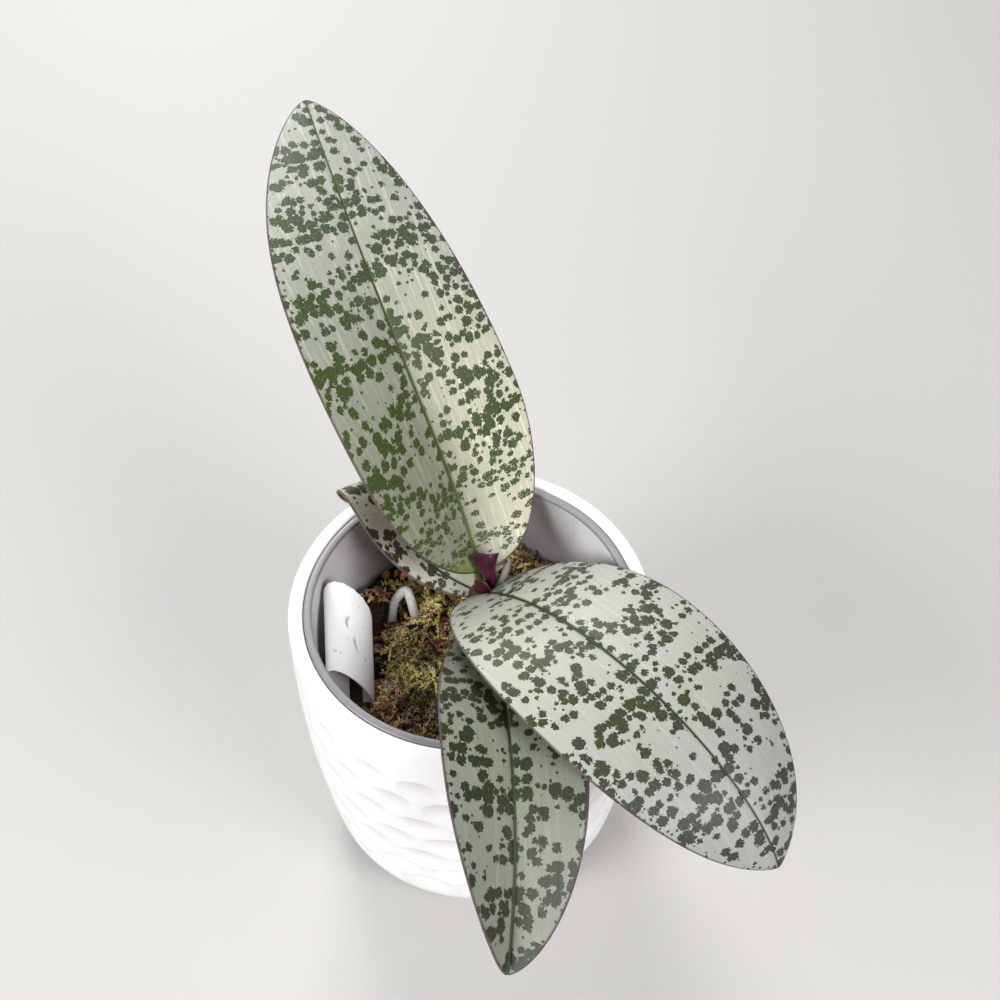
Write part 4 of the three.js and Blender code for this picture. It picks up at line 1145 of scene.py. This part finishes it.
white = (1, 1, 1, 1)
leaf_skin, taken, given = new_group(
    "leaf_skin",
    [("Place", "Vector", None), ("Margin", "Float", 10.0), ("Share", "Float", 0.5), ("Spots", "Float", 0.0),
     ("Cool", "Float", 0.5), ("Petal", "Float", 0.0), ("Silver", "Color", white), ("Pale", "Color", white),
     ("Near Green", "Color", white), ("Far Green", "Color", white), ("Rib", "Color", white),
     ("Rib Half", "Float", 0.5), ("Rib Side", "Color", white), ("Rib Glow", "Float", 0.0),
     ("Streaks", "Float", 0.4), ("Lime", "Float", 0.0), ("Base Green", "Color", white),
     ("Scorch", "Float", 0.0), ("Tip Tint", "Color", white), ("Left Tint", "Color", white),
     ("Right Tint", "Color", white)],
    [("Colour", "Color"), ("Height", "Float"), ("Roughness", "Float")])
tree, use = leaf_skin, taken.outputs
place, share = use["Place"], use["Share"]
sideways = parts_of(tree, place)[1]
across = math_node(tree, "ABSOLUTE", sideways)
streak = noise_node(tree, vector_node(tree, "MULTIPLY", place, (0.045, 0.75, 1)), 1.0, 4, 0.6)
vein = noise_node(tree, vector_node(tree, "MULTIPLY", place, (0.02, 0.55, 1)), 1.0, 2)
grain = noise_node(tree, place, 3.6, 3, 0.65)
cloud = noise_node(tree, place, 0.09)
mottle = noise_node(tree, place, 1.1, 3, 0.6)

# Pale lengthwise streaks: partly the silver's own fine streaks, partly painted sheen along the veins.
silver = mix_colour(tree, times(tree, ramp_between(tree, streak, 0.5, 0.66), use["Streaks"]), use["Silver"],
                    use["Pale"])
silver = toned(tree, silver, cloud, 0.35, 0.65, 0.35, (0.86, 0.9, 0.86))
silver = toned(tree, silver, grain, 0.35, 0.65, 0.3, (0.74, 0.75, 0.7))
silver = toned(tree, silver, mottle, 0.52, 0.7, 0.5, (0.8, 0.82, 0.78))
# Painted light and shade: the silver is made lighter or darker from the left half to the right half and
# towards the tip.
side_painted_light = mix_colour(tree, ramp_between(tree, sideways, -8, 20), use["Left Tint"], use["Right Tint"])
tint = mix_colour(tree, ramp_between(tree, share, 0.2, 0.85), side_painted_light, use["Tip Tint"])
silver = tinted(tree, silver, tint)

green = mix_colour(tree, use["Cool"], use["Near Green"], use["Far Green"])
green = toned(tree, green, grain, 0.48, 0.72, 0.6, (1.9, 1.9, 1.7))
green = toned(tree, green, use["Petal"], 0.5, 0.75, 0.5, (2.6, 2.5, 2.3))
tone = mix_colour(tree, use["Spots"], silver, green)

# Base colour near the stem: on the upper leaf its own lime green, on the right leaf a dark green painted
# shade.
base_share = times_add(tree, math_node(tree, "SUBTRACT", mottle, 0.5), 0.06, share)
base_share = times_add(tree, ramp_between(tree, sideways, -1, 7), 0.045, base_share)
limed = times(tree, ramp_between(tree, base_share, 0.02, 0.085, 1, 0), use["Lime"])
tone = mix_colour(tree, limed, tone, use["Base Green"])
collar = times(tree, ramp_between(tree, sideways, 2, 8), use["Lime"])
collar = times(tree, ramp_between(tree, share, 0.025, 0.05, 0.8, 0), collar)
sage_collar, scorched_brown, margin_maroon = (0.25, 0.28, 0.22), (0.2, 0.125, 0.07), (0.07, 0.043, 0.043)
tone = mix_colour(tree, collar, tone, sage_collar)
scorched = times(tree, ramp_between(tree, share, 0.84, 0.93), use["Scorch"])
tone = mix_colour(tree, scorched, tone, scorched_brown)

rib_half = times(tree, use["Rib Half"], ramp_between(tree, share, 0.1, 0.9, 1.15, 0.55))
past_rib = math_node(tree, "SUBTRACT", across, rib_half)
rib_glow = times(tree, use["Rib Glow"], ramp_between(tree, share, 0.1, 0.7, 1.0, 0.25))
tone = mix_colour(tree, ramp_between(tree, past_rib, 0.1, 0.9, rib_glow, 0), tone, use["Rib Side"])
base_glow = times(tree, use["Rib Glow"], ramp_between(tree, share, 0.03, 0.3, 0.6, 0))
rib_tone = mix_colour(tree, base_glow, use["Rib"], use["Rib Side"])
tone = mix_colour(tree, ramp_between(tree, past_rib, -0.12, 0.3, 1, 0), tone, rib_tone)
margin = times(tree, ramp_between(tree, use["Margin"], 0.45, 0.95, 1, 0), 0.85)
tree.links.new(mix_colour(tree, margin, tone, margin_maroon), given.inputs["Colour"])

relief = times_add(tree, streak, 0.35, times(tree, vein, 0.9))
tree.links.new(times_add(tree, grain, 0.25, relief), given.inputs["Height"])
tree.links.new(ramp_between(tree, grain, 0.3, 0.7, 0.42, 0.58), given.inputs["Roughness"])

dot_layers = (
    dict(Pitch=(5.2, 4.6, 1), Least=1.2, Most=2.35, Rough=0.85, more=0.0),
    dict(Pitch=(4.6, 4.1, 1), Least=0.9, Most=1.9, Rough=0.8, more=-0.02),
    dict(Pitch=(3.2, 2.9, 1), Least=0.4, Most=1.1, Rough=0.6, more=-0.2),
)


def leaf_upper_side(name, seed, cover, band_width, cool, fine=0.0, **tones):
    """Marbled upper side: three sizes of lobed dots and fine specks over silver."""
    material, tree = new_material(name, Coat_Weight=0.08, Coat_Roughness=0.35, Specular_IOR_Level=0.35)
    place = map_place(tree, "blade")
    sideways = parts_of(tree, place)[1]
    from_margin, share = parts_of(tree, map_place(tree, "edge"))[:2]
    young_end = ramp_between(tree, share, 0.04, 0.3, 1, 0)
    lobes = math_node(tree, "SUBTRACT", noise_node(tree, place, 0.45, 1.0), 0.5)
    crumbs = noise_node(tree, place, 1.45, 2.0, 0.55)
    petals = tree.nodes.new("ShaderNodeTexVoronoi")
    petals.voronoi_dimensions = "2D"
    petals.inputs["Scale"].default_value = 1.25
    tree.links.new(place, petals.inputs["Vector"])
    petal = petals.outputs["Distance"]
    crumbly = times(tree, math_node(tree, "SUBTRACT", crumbs, 0.5), times_add(tree, young_end, 2.6, 0.9))
    ragged = times_add(tree, lobes, 1.5, crumbly)
    ragged = times_add(tree, math_node(tree, "SUBTRACT", petal, 0.42), 1.35, ragged)
    squash = join_parts(tree, times_add(tree, young_end, 0.9, 1.0), 1.0)
    common = dict(Place=place, Ragged=ragged, Squash=squash)

    fine_cover = ramp_between(tree, from_margin, 0.5, 5.0, 0.5 + fine, 0.03 + fine)
    spots = use_group(tree, lobed_dots, Pitch=(2.1, 2.1, 1), Shift=(seed * 5.3, seed * 9.1, 0), Least=0.2,
                      Most=0.62, Banding=1.2, Band_Pitch=9.0, Band_Width=9.0, Rough=0.3, Cover=fine_cover,
                      **common).outputs[0]
    for step, layer in enumerate(dot_layers):
        values = dict(layer)
        values["Cover"] = cover + values.pop("more")
        dots = use_group(tree, lobed_dots, Shift=(seed * 7.13 + step * 31.7, seed * 3.71 + step * 17.3, 0),
                         Banding=2.6, Band_Pitch=11.0, Band_Width=band_width, **values, **common)
        spots = math_node(tree, "MAXIMUM", spots, dots.outputs[0])
    pits = times(tree, ramp_between(tree, crumbs, 0.56, 0.62), times(tree, young_end, 0.9))
    spots = times(tree, spots, math_node(tree, "SUBTRACT", 1.0, pits))

    cool_from, cool_sideways = cool
    chill = times_add(tree, sideways, cool_sideways, share)
    chill = times_add(tree, math_node(tree, "SUBTRACT", noise_node(tree, place, 0.05, 2), 0.5), 0.6, chill)
    skin = use_group(tree, leaf_skin, Place=place, Margin=from_margin, Share=share, Spots=spots, Petal=petal,
                     Cool=ramp_between(tree, chill, cool_from, cool_from + 0.45), **tones)
    finish_skin(tree, *[skin.outputs[key] for key in ("Colour", "Roughness", "Height")], 0.5, 0.0004)
    return material


def leaf_underside():
    """Dull maroon underside with faint lengthwise veins."""
    material, tree = new_material("leaf_underside", Coat_Weight=0.15)
    place = map_place(tree, "blade")
    tone = patchy(tree, place, 0.12, 4, 0.6, 0.35, 0.65, (0.14, 0.05, 0.06), (0.16, 0.11, 0.07))[0]
    lengthwise = vector_node(tree, "MULTIPLY", place, (0.05, 1.0, 1))
    tone, vein = patchy(tree, lengthwise, 1.0, 3, 0.6, 0.45, 0.7, tone, (0.24, 0.14, 0.13), 0.6)
    finish_skin(tree, tone, ramp_between(tree, vein, 0.3, 0.7, 0.45, 0.6), vein, 0.4, 0.0005)
    return material


# The left, right and tip factors multiply each leaf's silver: painted light and shade that make a leaf, or
# one half of it, lighter or darker by how light falls on it. The front leaf's low silver and factors paint
# it as shaded.
leaf_looks = {
    "upper_leaf": dict(
        seed=3.0, cover=0.57, band_width=30.0, cool=(0.26, 0.004), Silver=(0.37, 0.385, 0.335),
        Pale=(0.56, 0.54, 0.48), Near_Green=(0.032, 0.052, 0.004), Far_Green=(0.05, 0.066, 0.038),
        Rib=(0.045, 0.06, 0.02), Rib_Half=0.4, Rib_Side=(0.19, 0.23, 0.06), Rib_Glow=0.85, Streaks=0.8,
        Lime=1.0, Base_Green=(0.19, 0.25, 0.03), Left_Tint=(0.66, 0.66, 0.54), Right_Tint=(1.6, 1.52, 1.33),
        Tip_Tint=(1.05, 1.05, 1.06)),
    # The right leaf's dark Base Green is painted shade at its base by the crown.
    "right_leaf": dict(
        seed=11.0, cover=0.48, band_width=30.0, cool=(0.4, 0.0), Silver=(0.37, 0.378, 0.34),
        Pale=(0.47, 0.47, 0.43), Near_Green=(0.029, 0.038, 0.012), Far_Green=(0.027, 0.031, 0.025),
        Rib=(0.022, 0.034, 0.014), Rib_Half=0.5, Rib_Side=(0.05, 0.07, 0.03), Rib_Glow=0.3, Streaks=0.4,
        Lime=0.8, Base_Green=(0.07, 0.1, 0.04), Left_Tint=(1.24, 1.24, 1.2), Right_Tint=(1.24, 1.24, 1.18),
        Tip_Tint=(0.88, 0.9, 0.94)),
    "front_leaf": dict(
        seed=23.0, cover=0.5, band_width=26.0, cool=(0.5, -0.006), fine=0.05, Silver=(0.27, 0.28, 0.245),
        Pale=(0.35, 0.355, 0.31), Near_Green=(0.015, 0.022, 0.005), Far_Green=(0.023, 0.029, 0.014),
        Rib=(0.03, 0.045, 0.015), Rib_Half=0.45, Rib_Side=(0.12, 0.15, 0.06), Rib_Glow=0.3, Streaks=0.6,
        Left_Tint=(0.55, 0.575, 0.5), Right_Tint=(0.87, 0.88, 0.84), Tip_Tint=(0.86, 0.88, 0.82)),
    "back_leaf": dict(
        seed=37.0, cover=0.4, band_width=24.0, cool=(0.5, 0.0), Silver=(0.52, 0.53, 0.44),
        Pale=(0.66, 0.64, 0.52), Near_Green=(0.03, 0.036, 0.012), Far_Green=(0.035, 0.042, 0.02),
        Rib=(0.04, 0.05, 0.02), Rib_Half=0.4, Rib_Side=(0.16, 0.16, 0.08), Rib_Glow=0.3, Streaks=0.6,
        Tip_Tint=(1, 1, 0.9), Scorch=0.9),
}
leaf_rows = 210
maroon_underside = leaf_underside()
for leaf_name, form in leaf_forms.items():
    grown = blade_piece(leaf_name + "_blade", form, leaf_rows)
    grown.data.materials[0] = leaf_upper_side(leaf_name + "_skin", **leaf_looks[leaf_name])
    grown.data.materials[1] = maroon_underside
    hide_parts(leaf_name)
    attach(grown, "root")

# The crown: a young folded leaf, deep glossy magenta, stands in a dark maroon sheath, with a thin
# pale bract at its right. They grow from the middle of the stem between the two big leaves.
crown_forms = {
    "young_leaf": dict(
        rib=[(8.6, 12.7, 125), (9.9, 13.1, 128), (7.6, 15.3, 135.6), (8.1, 18.4, 139.4)],
        heading=2.846, half_width=7.4, start=0, widest=0.83, base_power=1.297, tip_power=0.35, neck=0.112,
        roll=(-0.055, 0.016), channel=(1.435, 0.882), bow=(0.2, 0.1), thick=1.3),
    "crown_sheath": dict(
        rib=[(7.2, 10.4, 122.8), (3.9, 9.7, 124.4), (5.2, 10.6, 128.2), (2.8, 13.1, 131.8)],
        heading=3.547, half_width=3.9, start=0, widest=0.402, base_power=0.489, tip_power=0.684, neck=0.58,
        roll=(-0.08, 0.221), channel=(0.704, 0.601), bow=(0.3, 0.3), thick=1.1),
    "side_bract": dict(
        rib=[(11.2, 14.6, 122.5), (12.6, 15.4, 127), (14.2, 17.4, 131), (15.4, 20, 134.5)],
        heading=2.5, half_width=1.9, start=0, widest=0.5, base_power=0.5, tip_power=0.9, neck=0.6,
        roll=(0, 0), channel=(0.4, 0.3), bow=(0.2, 0.2), thick=1.0),
}
crown_colours = {
    "young_leaf": ((0.022, 0.001, 0.008), (0.075, 0.003, 0.032), (0.1, 0.012, 0.035), 0.25),
    "crown_sheath": ((0.02, 0.001, 0.004), (0.05, 0.004, 0.01), (0.08, 0.02, 0.022), 0.25),
    "side_bract": ((0.2, 0.19, 0.15), (0.33, 0.32, 0.27), (0.16, 0.12, 0.1), 0.5),
}
crown_rows = 60
for crown_name, form in crown_forms.items():
    grown = blade_piece(crown_name + "_blade", form, crown_rows)
    dark, lighter, margin_tone, gloss = crown_colours[crown_name]
    material, tree = new_material(crown_name + "_skin", Specular_IOR_Level=0.3, Coat_Weight=0.3,
                                  Coat_Roughness=0.08)
    lengthwise = vector_node(tree, "MULTIPLY", map_place(tree, "blade"), (0.2, 2.4, 1))
    tone, vein = patchy(tree, lengthwise, 1.0, 3, 0.6, 0.35, 0.65, dark, lighter)
    from_margin = parts_of(tree, map_place(tree, "edge"))[0]
    tone = mix_colour(tree, ramp_between(tree, from_margin, 0.2, 0.7, 0.8, 0), tone, margin_tone)
    finish_skin(tree, tone, ramp_between(tree, vein, 0.3, 0.7, gloss, gloss + 0.12), vein, 0.3, 0.0003)
    grown.data.materials[0] = material
    grown.data.materials[1] = material
    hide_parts(crown_name)
    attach(grown, "root")
